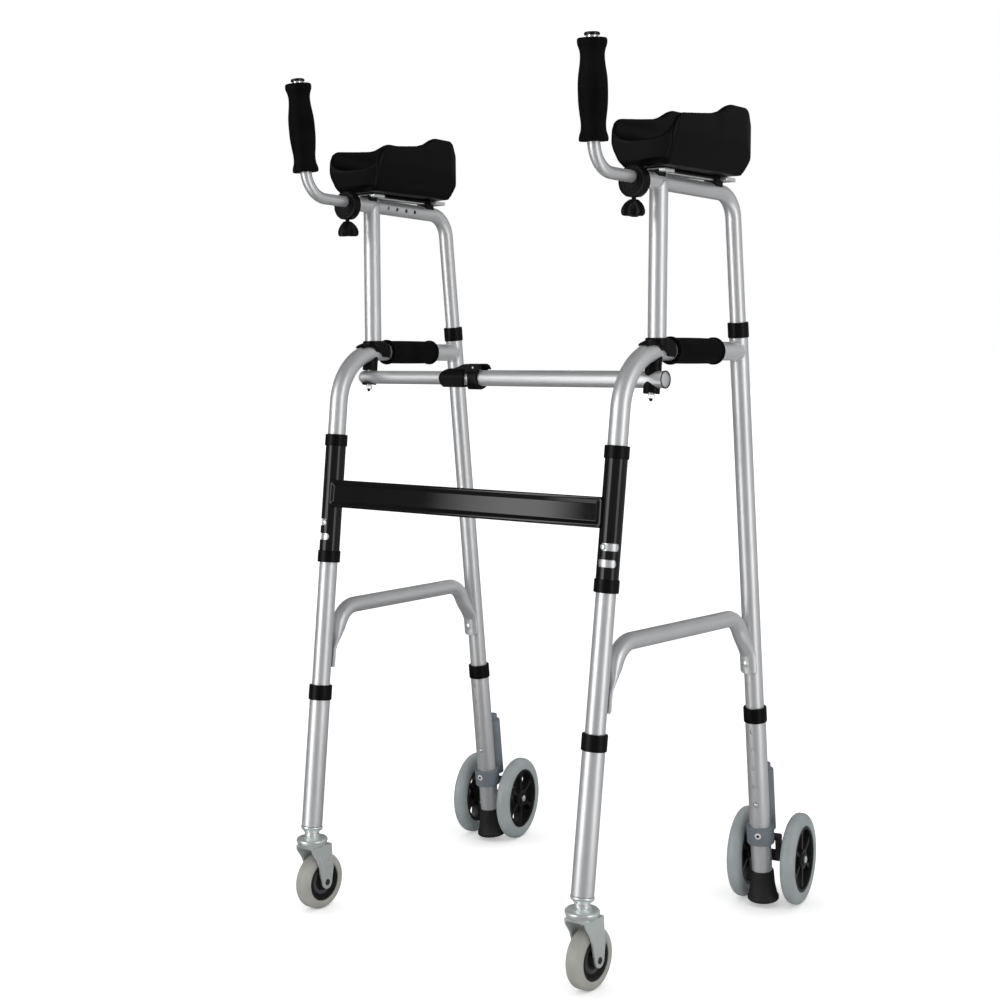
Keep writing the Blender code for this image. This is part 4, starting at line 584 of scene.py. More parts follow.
# Side frames: main tube, rear leg, weld and lower brace
sideParts = {
    "legEnd": 0.150, "bend": 0.082, "rearTop": 0.818, "rearEnd": 0.118, "rearCollar": 0.0286,
    "rearCollarHeight": 0.021, "bead": 0.0017, "frontButton": 0.170, "rearButton": 0.1475, "hole": 0.0076,
    "notch": 0.045, "boltBore": 0.0089,
}
lowerBrace = {
    "diameter": 0.0222, "height": 0.4142, "bend": 0.036, "splay": 0.022, "saddleWidth": 0.028,
    "saddleThickness": 0.0062, "saddleLength": 0.028, "endHeight": 0.333, "rivet": 0.009, "rivetHead": 0.0022,
}
pivot = {
    "height": 0.7415, "s": 0.132, "spacer": 0.0216, "bolt": 0.008, "boltRise": 0.0265, "nut": 0.0098,
    "nutHeight": 0.0050, "tip": 0.0046, "rise": 0.0180, "drop": 0.0170, "lip": 0.003, "leftReach": 0.0098,
    "washer": 0.0022, "saddleBore": 0.0228,
}
railEnd = (0, stance["rearLegS"], stance["railHeight"])
railCorner = (0, frontS(stance["railHeight"]), stance["railHeight"])
legEnd = (0, frontS(sideParts["legEnd"]), sideParts["legEnd"])
railRoute = rounded([legEnd, railCorner, railEnd], sideParts["bend"], 36)
pivotAxis = move(0, pivot["s"], pivot["height"]) @ turn(-stance["frontRake"], "X")
saddleMiddle = legRadius + seated + lowerBrace["saddleThickness"] / 2


def buttonPlace(axis, distance, facing):
    # Z out of a leg and Y down it: facing 1 looks to the rear and -1 to the front
    return axis @ move(0, 0, distance) @ turn(90 * (1 - facing), "Z") @ turn(-90, "X")


def notchTool(axis, distance, facing):
    # the open slot in a leg's end that the button's leaf slides in
    hole, notch = sideParts["hole"], sideParts["notch"]
    tool = slab((hole, notch + hole / 2, legRadius), (0, notch / 2 - hole / 4, legRadius))
    return moved(tool, buttonPlace(axis, distance, facing))


def railWeldRoute():
    # where the rail meets the rear leg, in the side frame
    points = []
    for a in circle(48):
        n, height = legRadius * math.cos(a), stance["railHeight"] + legRadius * math.sin(a)
        reach = math.sqrt(max((legRadius + 0.0004) ** 2 - n ** 2, 0))
        points.append((n, rearS(height) - reach, height))
    return points


def braceRing(place, flat):
    # round where flat is 0, and a saddle round the leg where flat is 1
    half, radius = lowerBrace["saddleThickness"] / 2, lowerBrace["diameter"] / 2
    ring = []
    for a in circle(48):
        bend = lowerBrace["saddleWidth"] / 2 * squared(math.cos(a)) / saddleMiddle
        reach = saddleMiddle + half * squared(math.sin(a))
        n = radius * math.cos(a) * (1 - flat) + reach * math.sin(bend) * flat
        t = radius * math.sin(a) * (1 - flat) + (reach * math.cos(bend) - saddleMiddle) * flat
        ring.append(place @ Vector((n, t, 0)))
    return ring


def lowerBraceMesh():
    low, high = lowerBrace["endHeight"], lowerBrace["endHeight"] + lowerBrace["saddleLength"]
    top = lowerBrace["height"]
    ends, corners = [], []
    for legS, inward in ((frontS, 1), (rearS, -1)):
        ends.append([Vector((0, legS(z) + inward * saddleMiddle, z))
                     for z in (low, low + 0.002, high - 0.004)])
        corners.append(Vector((0, legS(top) + inward * (saddleMiddle + lowerBrace["splay"]), top)))
    arcs = rounded([ends[0][-1], *corners, ends[1][-1]], lowerBrace["bend"], 16)[1:-1]
    shares = [i / 8 for i in range(1, 8)]
    fading = [0.5 + 0.5 * math.cos(math.pi * share) for share in shares]
    leadIn = [ends[0][-1].lerp(arcs[0], share) for share in shares]
    leadOut = [ends[1][-1].lerp(arcs[-1], share) for share in shares]
    stations = ends[0] + leadIn + arcs + leadOut[::-1] + ends[1][::-1]
    flats = [1, 1, 1] + fading + [0] * len(arcs) + fading[::-1] + [1, 1, 1]
    rings = []
    last = len(stations) - 1
    for i, (point, flat) in enumerate(zip(stations, flats)):
        ahead = (stations[min(i + 1, last)] - stations[max(i - 1, 0)]).normalized()
        across = Vector((1, 0, 0))
        out = ahead.cross(across)
        shrink = 0.86 if i in (0, last) else 1.0
        place = Matrix.Translation(point) @ Matrix((across * shrink, out, ahead)).transposed().to_4x4()
        rings.append(braceRing(place, flat))
    return lofted(rings)


def rivetMesh():
    half, radius, rise = lowerBrace["saddleThickness"] / 2, lowerBrace["rivet"] / 2, lowerBrace["rivetHead"]
    dome = [(radius * math.sin(a), half + rise * (0.25 + 0.75 * math.cos(a)))
            for a in map(math.radians, (0, 20, 40, 60, 80, 90))]
    return turned([*dome, (radius, half - 0.001), (0, half - 0.001)], 32)


def studMesh():
    radius, top, low = brace["stud"] / 2, legRadius + brace["studReach"], legRadius - 0.001
    return turned([(0, top), (radius * 0.6, top), (radius * 0.9, top - 0.0006), (radius, top - 0.0016),
                   (radius, low), (0, low)], 32)


mainTubeForm = hollowTube(railRoute, stance["legDiameter"], stance["legDiameter"] - 2 * stance["tubeWall"],
                          64)
mainTubeForm = cut(mainTubeForm, notchTool(frontAxis, alongFront(sideParts["frontButton"]), 1),
                   moved(rod(sideParts["boltBore"], 0.004, 0.0305, 32), pivotAxis))
rearTop, rearLow = alongRear(sideParts["rearTop"]), alongRear(sideParts["rearEnd"])
rearLegForm = cut(ringBar(legRadius, legRadius - stance["tubeWall"], rearLow, rearTop - 0.0004, 0.0004, 64),
                  notchTool(Matrix.Identity(4), alongRear(sideParts["rearButton"]), -1))
rearCollarForm = ringBar(sideParts["rearCollar"] / 2, legRadius - stance["tubeWall"],
                         rearTop - sideParts["rearCollarHeight"], rearTop, 0.0012)
studPlace = sideFrame @ buttonPlace(frontAxis, alongFront(brace["slots"][0][0]), -1)
pair("mainTube", mainTubeForm, "satinAluminium", "frame", sideFrame, "main_tube", 50)
pair("stopStud", studMesh(), "brightZinc", "frame", studPlace)
pair("rearLeg", rearLegForm, "satinAluminium", "frame", rearUnit, "rear_leg", 40)
pair("rearLegCollar", rearCollarForm, "blackPlastic", "frame", rearUnit)
pair("railWeld", weldBead(railWeldRoute(), sideParts["bead"], (0, 1, 0)), "weldMetal", "frame", sideFrame, "",
     60)
pair("lowerBrace", lowerBraceMesh(), "railAluminium", "frame", sideFrame, "lower_brace", 60)
for which, legS, axis, facing in (("front", frontS, frontAxis, 1), ("rear", rearS, rearAxis, -1)):
    z = lowerBrace["endHeight"] + lowerBrace["saddleLength"] / 2
    level = axis.to_3x3().to_4x4() @ turn(-90 * facing, "X")
    place = sideFrame @ move(0, legS(z) + facing * saddleMiddle, z) @ level
    pair(which + "Rivet", rivetMesh(), "brightSteel", "frame", place, "", 50, "aluminium")
print("side frames made")

# Forearm frame: post, bent tube, moulded cap, pivot fittings
forearm = {
    "postDiameter": 0.0240, "postS": 0.141, "postFoot": 0.794, "tube": 0.0215, "tubeFront": 0.091,
    "tubeHeight": 0.9946, "tubeFall": 1.08, "tubeBend": 0.036, "tubeEnd": 0.775, "tubeBore": 0.0175,
    "holes": (0.167, 0.187, 0.208, 0.228), "holeDiameter": 0.0056, "bead": 0.0014,
}
cap = {"wall": 0.0036, "front": 0.116, "rear": 0.1687, "boss": 0.0300, "bossTop": 0.7945}
armAxis = move(0, forearm["tubeFront"], forearm["tubeHeight"]) @ turn(-90 - forearm["tubeFall"], "X")
pivotPlace = sideFrame @ pivotAxis


def armTubeZ(s):
    return forearm["tubeHeight"] - (s - forearm["tubeFront"]) * math.tan(math.radians(forearm["tubeFall"]))


def holePlace(s):
    # across the forearm tube, from its middle outward
    return move(0, s, armTubeZ(s) - 0.002) @ turn(-90, "Y")


def armTubeMesh():
    cornerZ = armTubeZ(rearS(forearm["tubeHeight"]))
    route = rounded([(0, forearm["tubeFront"], forearm["tubeHeight"]), (0, rearS(cornerZ), cornerZ),
                     (0, rearS(forearm["tubeEnd"]), forearm["tubeEnd"])], forearm["tubeBend"], 28)
    reach = forearm["tube"] / 2 + 0.004
    return cut(hollowTube(route, forearm["tube"], forearm["tubeBore"], 56),
               *[moved(rod(forearm["holeDiameter"], 0.004, reach, 28), holePlace(s))
                 for s in forearm["holes"]])


def postMesh():
    # its top is coped to the forearm tube
    s, low, wall = forearm["postS"], forearm["postFoot"], stance["tubeWall"]
    top, radius = armTubeZ(s) + 0.0006, forearm["postDiameter"] / 2
    post = turned([(radius - wall, top), (radius - 0.0004, top), (radius, top - 0.0006), (radius, low),
                   (radius - wall, low)], 64)
    tube = moved(rod(forearm["tube"] + 0.0002, -0.1, 0.1),
                 move(0, s, armTubeZ(s)) @ turn(-90 - forearm["tubeFall"], "X"))
    return cut(moved(post, move(0, s, 0)), tube)


def postWeldRoute():
    radius, tube = forearm["postDiameter"] / 2, forearm["tube"] / 2
    points = []
    for a in circle(48):
        n, s = radius * math.cos(a), forearm["postS"] + radius * math.sin(a)
        points.append((n * 0.99, s, armTubeZ(s) - math.sqrt(max(tube ** 2 - n ** 2, 0)) - 0.0006))
    return points


def capMesh():
    # a shell over the rail whose lower edge drops from front to rear
    inner, outer = legRadius + seated, legRadius + cap["wall"]
    route = [point for point in railRoute if point.y > 0.02]
    fine = [start.lerp(end, i / 12) for start, end in zip(route, route[1:]) for i in range(12)]
    across, count, stations = Vector((1, 0, 0)), 40, 24
    rings = []
    for k in range(stations + 1):
        s = cap["front"] + (cap["rear"] - cap["front"]) * k / stations
        i = min(range(1, len(fine) - 1), key=lambda index: abs(fine[index].y - s))
        up = across.cross((fine[i + 1] - fine[i - 1]).normalized())
        low = 66 - 100 / (1 + math.exp(-8 * (k / stations - 0.36)))
        trim = 0.0006 if k in (0, stations) else 0.0
        ring = []
        for radius, order in ((outer - trim, range(count + 1)), (inner, range(count, -1, -1))):
            for a in [math.radians(low + (180 - 2 * low) * j / count) for j in order]:
                ring.append(fine[i] + across * math.cos(a) * radius + up * math.sin(a) * radius)
        rings.append(ring)
    return lofted(rings)


def bossMesh():
    radius, top, inner = cap["boss"] / 2, cap["bossTop"], forearm["postDiameter"] / 2 + 0.0004
    bottom = stance["railHeight"]
    profile = [(inner, top), (radius - 0.0009, top), (radius - 0.0003, top - 0.0003), (radius, top - 0.0010),
               (radius + 0.0001, bottom + 0.0125), (radius + 0.0010, bottom + 0.0085),
               (radius + 0.0012, bottom + 0.0030), (radius + 0.0006, bottom), (inner, bottom)]
    rail = solidTube(railRoute, stance["legDiameter"] + 0.0006, 40)
    return cut(moved(turned(profile, 64), move(0, forearm["postS"], 0)), rail)


def spacerMesh(low, high, coped=False):
    radius = pivot["spacer"] / 2
    body = turned([(0, high), (radius, high), (radius, low + 0.0003), (radius - 0.0003, low), (0, low)], 64)
    if not coped:
        return body
    level = pivotAxis.inverted() @ move(0, pivot["s"], pivot["height"]) @ turn(90, "Y")
    return cut(body, moved(rod(pivot["saddleBore"], -0.05, 0.05, 64), level),
               rod(pivot["bolt"] + 0.001, -0.04, 0.04, 24))


def boltMesh(low):
    nut = moved(prism(hexagon(pivot["nut"] / 2), pivot["nutHeight"], 0.0005),
                move(0, 0, low - pivot["nutHeight"] / 2 - 0.0012))
    return gathered(rod(pivot["bolt"], low - 0.0060, pivot["boltRise"], 32), nut)


def boltTipMesh(low):
    radius, top = pivot["tip"] / 2, low - 0.0059
    ball = [(radius * math.cos(a), top - 0.0016 - radius * math.sin(a))
            for a in map(math.radians, range(0, 90, 15))]
    return turned([(0, top), (radius, top), *ball, (0, top - 0.0016 - radius)], 32)


def cupWasherMesh(low):
    # thin washer bent up round the tube
    rings = []
    for z, radius in ((0, 0.0104), (-0.0002, 0.0107), (-0.0010, 0.0107), (-0.0012, 0.0100)):
        rings.append([(radius * math.cos(a), radius * math.sin(a), low + z
                       + pivot["washer"] * math.sin(a) ** 2)
                      for a in circle(48)])
    return lofted(rings)


def pivotLow(side):
    # under the bar, which has a saddle washer on the right
    return -pivot["drop"] if side > 0 else -pivot["leftReach"]


def pivotHigh(side):
    return pivot["rise"] if side > 0 else pivot["leftReach"]


plugForm = moved(rod(0.0049, 0.0072, 0.0098, 28, 0.0004), holePlace(forearm["holes"][3]))
spacerTop = stance["railHeight"] - pivot["height"]
pair("armTube", armTubeMesh(), "railAluminium", "frame", sideFrame, "forearm_tube", 45)
pair("post", postMesh(), "satinAluminium", "frame", sideFrame, "forearm_post", 40)
pair("postWeld", weldBead(postWeldRoute(), forearm["bead"], (0, 0, 1)), "weldMetal", "frame", sideFrame, "",
     60)
pair("postCap", capMesh(), "blackPlastic", "frame", sideFrame, "post_saddle", 40)
pair("postBoss", bossMesh(), "blackPlastic", "frame", sideFrame, "", 40)
pair("armTubePlug", plugForm, "blackPlastic", "frame", sideFrame)
pair("pivotSpacer", lambda side: spacerMesh(pivotHigh(side) + 0.0004, spacerTop), "blackPlastic", "frame",
     pivotPlace)
pair("pivotBolt", lambda side: boltMesh(pivotLow(side) - 0.0012), "brightZinc", "frame", pivotPlace,
     "pivot_bolt")
pair("pivotBoltTip", lambda side: boltTipMesh(pivotLow(side) - 0.0012), "blackPlastic", "frame", pivotPlace)
pair("pivotWasher", lambda side: cupWasherMesh(pivotLow(side) - 0.0004), "blackPlastic", "frame", pivotPlace)
piece("saddleUpper", spacerMesh(pivot["lip"] - 0.0006, pivot["rise"], True), "blackPlastic", "right_bar", 1,
      pivotPlace, ["right_bar_saddle_upper"], 30)
piece("saddleLower", moved(spacerMesh(pivot["lip"] - 0.0006, pivot["drop"], True), turn(180, "X")),
      "blackPlastic",
      "right_bar", 1, pivotPlace, ["right_bar_saddle_lower"], 30)
print("forearm frames made")

# Forearm pads: outlines in millimetres, from the side, from above and across
pad = {
    "profile": [(112, 1010.5), (106, 1018), (101, 1044), (103, 1056), (110, 1069), (120, 1075), (160, 1079),
                (190, 1082.5), (207, 1087), (222, 1095), (232, 1098.5), (267, 1098), (275, 1093), (294, 1066),
                (293, 1053), (286, 1030), (280, 1010.5)],
    "plan": [(38, 98), (47, 101), (51, 108), (52, 124), (51, 200), (53, 228), (53, 264), (46, 285),
             (28, 296)],
    "section": [(33, 1008), (40, 1018), (46.5, 1033), (51, 1052), (52, 1080), (50.5, 1100)],
    "troughs": [(92, 46, 1043, 1066), (112, 44, 1044, 1070), (140, 42, 1044, 1072), (190, 40.5, 1043, 1070),
                (300, 40.5, 1043, 1070)],
    "troughTop": 1130, "voxel": 0.0016, "smoothing": 12,
}
plate = {
    "width": 0.036, "front": 0.127, "length": 0.160, "tab": 0.024, "thickness": 0.0052, "top": 1.0098,
    "tabPast": 0.006, "strip": (0.012, 0.130, 0.0022), "stripDrop": 0.0042, "rib": (0.018, 0.120, 0.0026),
    "foot": (0.019, 0.018), "footAt": (0.134, 0.266),
}


def bothHalves(outline):
    # an outline given for one side, in metres
    return [(n / 1000, v / 1000) for n, v in outline] + [(-n / 1000, v / 1000) for n, v in outline[::-1]]


def padMesh():
    body = moved(prism([(s / 1000, z / 1000) for s, z in pad["profile"]], 0.14), stand)
    plan = moved(prism(bothHalves(pad["plan"]), 0.3), move(0, 0, 1.05))
    section = moved(prism(bothHalves(pad["section"]), 0.5), move(0, 0.2, 0) @ turn(90, "X"))
    rings = []
    for s, half, low, shoulder in pad["troughs"]:
        ring = [(-half * 1.03, pad["troughTop"])]
        for a in [math.pi + math.pi * i / 24 for i in range(25)]:
            ring.append((half * squared(math.cos(a)), shoulder - (shoulder - low) * abs(math.sin(a)) ** 0.8))
        ring.append((half * 1.03, pad["troughTop"]))
        rings.append([(n / 1000, s / 1000, z / 1000) for n, z in ring])
    return moulded(cut(common(body, plan, section), lofted(rings)), pad["voxel"], pad["smoothing"])


def tabsMesh():
    # a tab at each end and the thin strip between them
    size = (plate["width"], plate["tab"], plate["thickness"])
    front, rear = plate["front"], plate["front"] + plate["length"]
    tabs = [slab(size, (0, s, plate["top"] - plate["thickness"] / 2), 0.0014)
            for s in (front + plate["tab"] / 2, rear + plate["tabPast"] - plate["tab"] / 2)]
    return gathered(*tabs, slab(plate["strip"], (0, (front + rear) / 2, plate["top"] - plate["stripDrop"]),
                                0.0006))


def feetMesh():
    # two blocks seated on the forearm tube
    feet = []
    for s in plate["footAt"]:
        top, low = plate["top"] - 0.002, armTubeZ(s) + 0.004
        feet.append(slab((*plate["foot"], top - low), (0, s, (top + low) / 2), 0.001))
    return cut(gathered(*feet), moved(rod(forearm["tube"] + 0.0004, -0.02, 0.3), armAxis))


ribForm = slab(plate["rib"], (0, plate["front"] + plate["length"] / 2, plate["top"] - plate["rib"][2] / 2),
               0.0006)
for trough in pair("armTrough", padMesh(), "padSkin", "frame", sideFrame, "forearm_pad", 80):
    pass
pair("padTabs", tabsMesh(), "brightSteel", "frame", sideFrame, "pad_plate")
pair("padRib", ribForm, "blackPlastic", "frame", sideFrame)
pair("padFeet", feetMesh(), "blackPlastic", "frame", sideFrame)
print("forearm pads made")

# Grip rods, hand grips, rail grips and clamps: profiles are (share of length, radius in millimetres), and
# the knob's rings are (share of height, share of radius, depth of the lobes)
grip = {
    "start": 1.030, "length": 0.1230, "forward": 4.8, "outward": 1.7, "corner": 0.006, "rod": 0.0159,
    "bend": 0.039, "insert": 0.172, "bore": 0.0168, "depth": 0.0077,
    "profile": [(0.0, 17.4), (0.010, 18.0), (0.030, 18.2), (0.060, 17.5), (0.095, 16.1), (0.13, 15.5),
                (0.165, 15.4), (0.21, 15.8), (0.28, 16.9), (0.37, 18.0), (0.46, 18.35), (0.54, 18.35),
                (0.62, 17.9), (0.70, 16.6), (0.765, 15.5), (0.82, 15.1), (0.86, 15.3), (0.90, 16.4),
                (0.935, 17.9), (0.955, 18.35), (0.985, 18.35), (1.0, 17.4)],
    "cap": 0.0194, "neck": 0.0150, "capRise": 0.008, "disc": 0.0045,
}
railGrip = {
    "start": 0.169, "length": 0.104, "bore": 0.0263,
    "profile": [(0.0, 17.8), (0.006, 18.3), (0.018, 18.4), (0.036, 18.3), (0.046, 17.8), (0.056, 16.7),
                (0.075, 16.8), (0.3, 17.05), (0.5, 17.1), (0.7, 17.05), (0.925, 16.8), (0.944, 16.7),
                (0.954, 17.8), (0.964, 18.3), (0.982, 18.4), (0.994, 18.3), (1.0, 17.8)],
}
clamp = {
    "diameter": 0.0415, "length": 0.0135, "drop": 0.0052, "flat": 0.0012, "seat": 0.004, "knob": 0.034,
    "knobHeight": 0.0205, "lobes": 3, "stem": 0.006, "stemLength": 0.0035,
    "knobRings": ((0.0, 0.34, 0.0), (0.02, 0.38, 0.02), (0.10, 0.52, 0.10), (0.24, 0.72, 0.24),
                  (0.45, 0.90, 0.32),
                  (0.68, 1.0, 0.34), (0.86, 0.98, 0.34), (0.95, 0.92, 0.33), (1.0, 0.82, 0.30)),
}


def gripPlace():
    forward, outward = math.radians(grip["forward"]), math.radians(grip["outward"])
    up = Vector((math.tan(outward), -math.tan(forward), 1)).normalized()
    corner = Vector((0, grip["corner"], armTubeZ(grip["corner"])))
    lower = corner + up * (grip["start"] - corner.z) / up.z
    return Matrix.Translation(lower) @ up.to_track_quat("Z", "Y").to_matrix().to_4x4()


def foamProfile(size):
    return [(radius / 1000, size["length"] * at) for at, radius in softened(size["profile"])][::-1]


def gripMesh():
    length, bore, floor = grip["length"], grip["bore"] / 2, grip["length"] - grip["depth"]
    return turned([(0, length), (grip["neck"] / 2, length), *foamProfile(grip), (bore, 0.0), (bore, floor),
                   (0, floor)], 72)


def gripCapMesh():
    top = grip["length"] + grip["capRise"]
    radius, under = grip["cap"] / 2, top - grip["disc"]
    return turned([(0, top), (radius * 0.45, top - 0.00015), (radius - 0.0022, top - 0.0005),
                   (radius - 0.0008, top - 0.0010), (radius, top - 0.0020), (radius, under + 0.0006),
                   (radius - 0.0006, under), (0, under)], 64)


def clampMesh():
    # a stepped round block, bored for the tube and the rod, with a flat for the knob
    radius, seat = clamp["diameter"] / 2, clamp["seat"]
    front = seat - clamp["length"]
    profile = [(0, seat), (radius - 0.0015, seat), (radius - 0.0004, seat - 0.0005), (radius, seat - 0.0015),
               (radius, front + 0.0018), (radius - 0.0005, front + 0.0006), (radius - 0.0018, front)]
    for groove in (0.0040, 0.0085):
        profile += [(radius - groove, front), (radius - groove - 0.0003, front + 0.0007),
                    (radius - groove - 0.0013, front + 0.0007), (radius - groove - 0.0016, front)]
    wide, narrow = forearm["tube"] / 2 + seated, grip["rod"] / 2 + 0.0006
    bore = turned([(0, 0.03), (wide, 0.03), (wide, -seated), (narrow, -seated), (narrow, -0.03), (0, -0.03)],
                  48)
    level = slab((0.06, 0.02, 0.06), (0, clamp["drop"] + radius - clamp["flat"] + 0.01, 0))
    screw = moved(rod(clamp["stem"] + 0.0009, -0.03, -0.005, 24),
                  move(0, 0, seat - clamp["length"] / 2) @ turn(90, "X"))
    return cut(moved(turned([*profile, (0, front)], 80), move(0, clamp["drop"], 0)), bore, level, screw)


def knobMesh():
    radius, height = clamp["knob"] / 2, clamp["knobHeight"]
    rings = []
    for depth, share, lobe in clamp["knobRings"]:
        ring = []
        for a in circle(120):
            reach = radius * share * (1 - lobe + lobe * math.cos(clamp["lobes"] * a))
            ring.append((reach * math.cos(a), reach * math.sin(a), -height * depth))
        rings.append(ring)
    return gathered(lofted(rings), rod(clamp["stem"], -0.004, clamp["stemLength"] + 0.0035, 28))


def railGripMesh():
    bore = railGrip["bore"] / 2
    return turned([*foamProfile(railGrip), (bore, 0.0), (bore, railGrip["length"])], 72)


rodRoute = [(0, grip["insert"], armTubeZ(grip["insert"])), (0, grip["corner"], armTubeZ(grip["corner"])),
            gripPlace() @ Vector((0, 0, grip["length"] - 0.0085))]
rodForm = solidTube(rounded(rodRoute, grip["bend"], 32), grip["rod"])
neckForm = rod(grip["neck"], grip["length"] - 0.0002, grip["length"] + grip["capRise"] - grip["disc"]
               + 0.0004)
knobDrop = clamp["drop"] + clamp["diameter"] / 2 - clamp["flat"] + clamp["stemLength"]
knobPlace = armAxis @ move(0, 0, clamp["seat"] - clamp["length"] / 2) @ move(0, knobDrop, 0) @ turn(90, "X")
railPlace = sideFrame @ move(0, railGrip["start"], stance["railHeight"]) @ turn(-90, "X")
pair("gripRod", rodForm, "satinAluminium", "grip", sideFrame, "grip_rod", 50)
pair("handGrip", gripMesh(), "blackFoam", "grip", sideFrame @ gripPlace(), "hand_grip", 50)
pair("gripNeck", neckForm, "brightSteel", "grip", sideFrame @ gripPlace())
pair("gripCap", gripCapMesh(), "glossBlack", "grip", sideFrame @ gripPlace(), slot="black_plastic")
pair("railGrip", railGripMesh(), "blackFoam", "frame", railPlace, "rail_grip", 50)
pair("clamp", clampMesh(), "blackPlastic", "frame", sideFrame @ armAxis, "rod_clamp")
pair("knob", knobMesh(), "blackPlastic", "clamp_knob", sideFrame @ knobPlace, "clamp_knob")
print("grips and clamps made")

# Telescopic bar and its flip lock, measured from the walker's middle
bar = {
    "thin": 0.01905, "thick": 0.0222, "leftPast": 0.018, "rightPast": 0.0205, "mouth": -0.050,
    "engagement": 0.062, "cap": 0.0232, "capLength": 0.0011, "rim": 0.0013, "nose": 0.0085,
}
lock = {
    "left": -0.0555, "right": -0.0325, "outer": 0.0318, "pinX": -0.0396, "pinRise": 0.0147, "pin": 0.0030,
    "cheekHalf": 0.0125, "knuckleHalf": 0.0075, "scallop": 0.0175, "scallopDepth": 0.0085,
    "cheek": [(-0.0345, 0.0200), (-0.0300, 0.0178), (-0.0274, 0.0140), (-0.0272, 0.0120)],
    "leverLeft": -0.101, "leverRight": -0.0575, "shellWall": 0.0032, "skirt": 0.0128, "nose": 0.0138,
    "leverRise": 0.0050,
}
pivotPoint = pivotPlace.translation
barAxis = move(0, pivotPoint.y, pivotPoint.z)


def lying(mesh):
    # from standing on Z to lying along X
    return moved(mesh, turn(90, "Y"))


def boltTool(place):
    return moved(rod(pivot["bolt"] + 0.0009, -0.03, 0.03, 24), barAxis.inverted() @ place)


def thinBarMesh():
    radius, left = bar["thin"] / 2, -pivotPoint.x - bar["leftPast"]
    right = bar["mouth"] + bar["engagement"]
    nose = [(radius * math.sin(a), left + bar["nose"] * (1 - math.cos(a)))
            for a in map(math.radians, range(0, 91, 9))]
    outer = turned([(0, right), (radius, right)] + nose[::-1][:-1] + [(0, left)], 64)
    hollow = rod(bar["thin"] - 2 * stance["tubeWall"], left + 0.012, right + 0.01)
    return cut(lying(cut(outer, hollow)), boltTool(mirror @ pivotPlace @ mirror))


def thickBarMesh():
    radius, end = bar["thick"] / 2, pivotPoint.x + bar["rightPast"] - bar["capLength"]
    inner = bar["thin"] / 2 + sliding
    ring = turned([(inner, bar["mouth"]), (radius - 0.0004, bar["mouth"]), (radius, bar["mouth"] + 0.0005),
                   (radius, end), (inner, end)], 64)
    return cut(lying(ring), boltTool(pivotPlace))


def barCapMesh():
    radius, end = bar["cap"] / 2, pivotPoint.x + bar["rightPast"]
    return lying(ringBar(radius, radius - bar["rim"], end - bar["capLength"], end, 0.0004))


def barPlugMesh():
    radius, end = bar["cap"] / 2 - bar["rim"] - 0.00005, pivotPoint.x + bar["rightPast"] - 0.0008
    inner = bar["thin"] / 2
    dome = [(radius * math.sin(a), end - 0.0016 + 0.0022 * math.cos(a))
            for a in map(math.radians, range(0, 91, 10))]
    return lying(turned([*dome, (inner, end - 0.0030), (inner, end - 0.009), (0, end - 0.009)], 64))


def lockCollarMesh():
    # a collar on the thick tube with two cheeks that hold the pin, scalloped towards the lever
    left, right, outer = lock["left"], lock["right"], lock["outer"] / 2
    ring = lying(turned([(0, right), (outer - 0.0022, right), (outer - 0.0009, right - 0.0007),
                         (outer, right - 0.0030), (outer, left + 0.0006), (outer - 0.0006, left), (0, left)],
                        96))
    outline = [(left + 0.001, 0.006), (left + 0.001, 0.0135), (left + 0.004, 0.0180),
               (lock["pinX"] - 0.006, 0.0200), *lock["cheek"], (right - 0.0004, 0.0118),
               (right - 0.0004, 0.006)]
    cheeks = moved(prism(outline, 2 * lock["cheekHalf"]), turn(90, "X"))
    channel = slab((0.053, 2 * lock["knuckleHalf"] + 0.0006, 0.02), ((left + right) / 2, 0, 0.019))
    wide, narrow, step = bar["thick"] / 2 + seated, bar["thin"] / 2 + 0.0006, bar["mouth"] - seated
    bore = lying(turned([(0, right + 0.01), (wide, right + 0.01), (wide, step), (narrow, step),
                         (narrow, left - 0.01), (0, left - 0.01)], 64))
    radius = lock["scallop"]
    scallop = moved(rod(2 * radius, -0.03, 0.03, 96),
                    move(left + lock["scallopDepth"] - radius, 0, -0.001) @ turn(90, "X"))
    return bevelled(cut(united(cut(ring, scallop), cheeks), channel, bore), 0.0006, 2, 40)


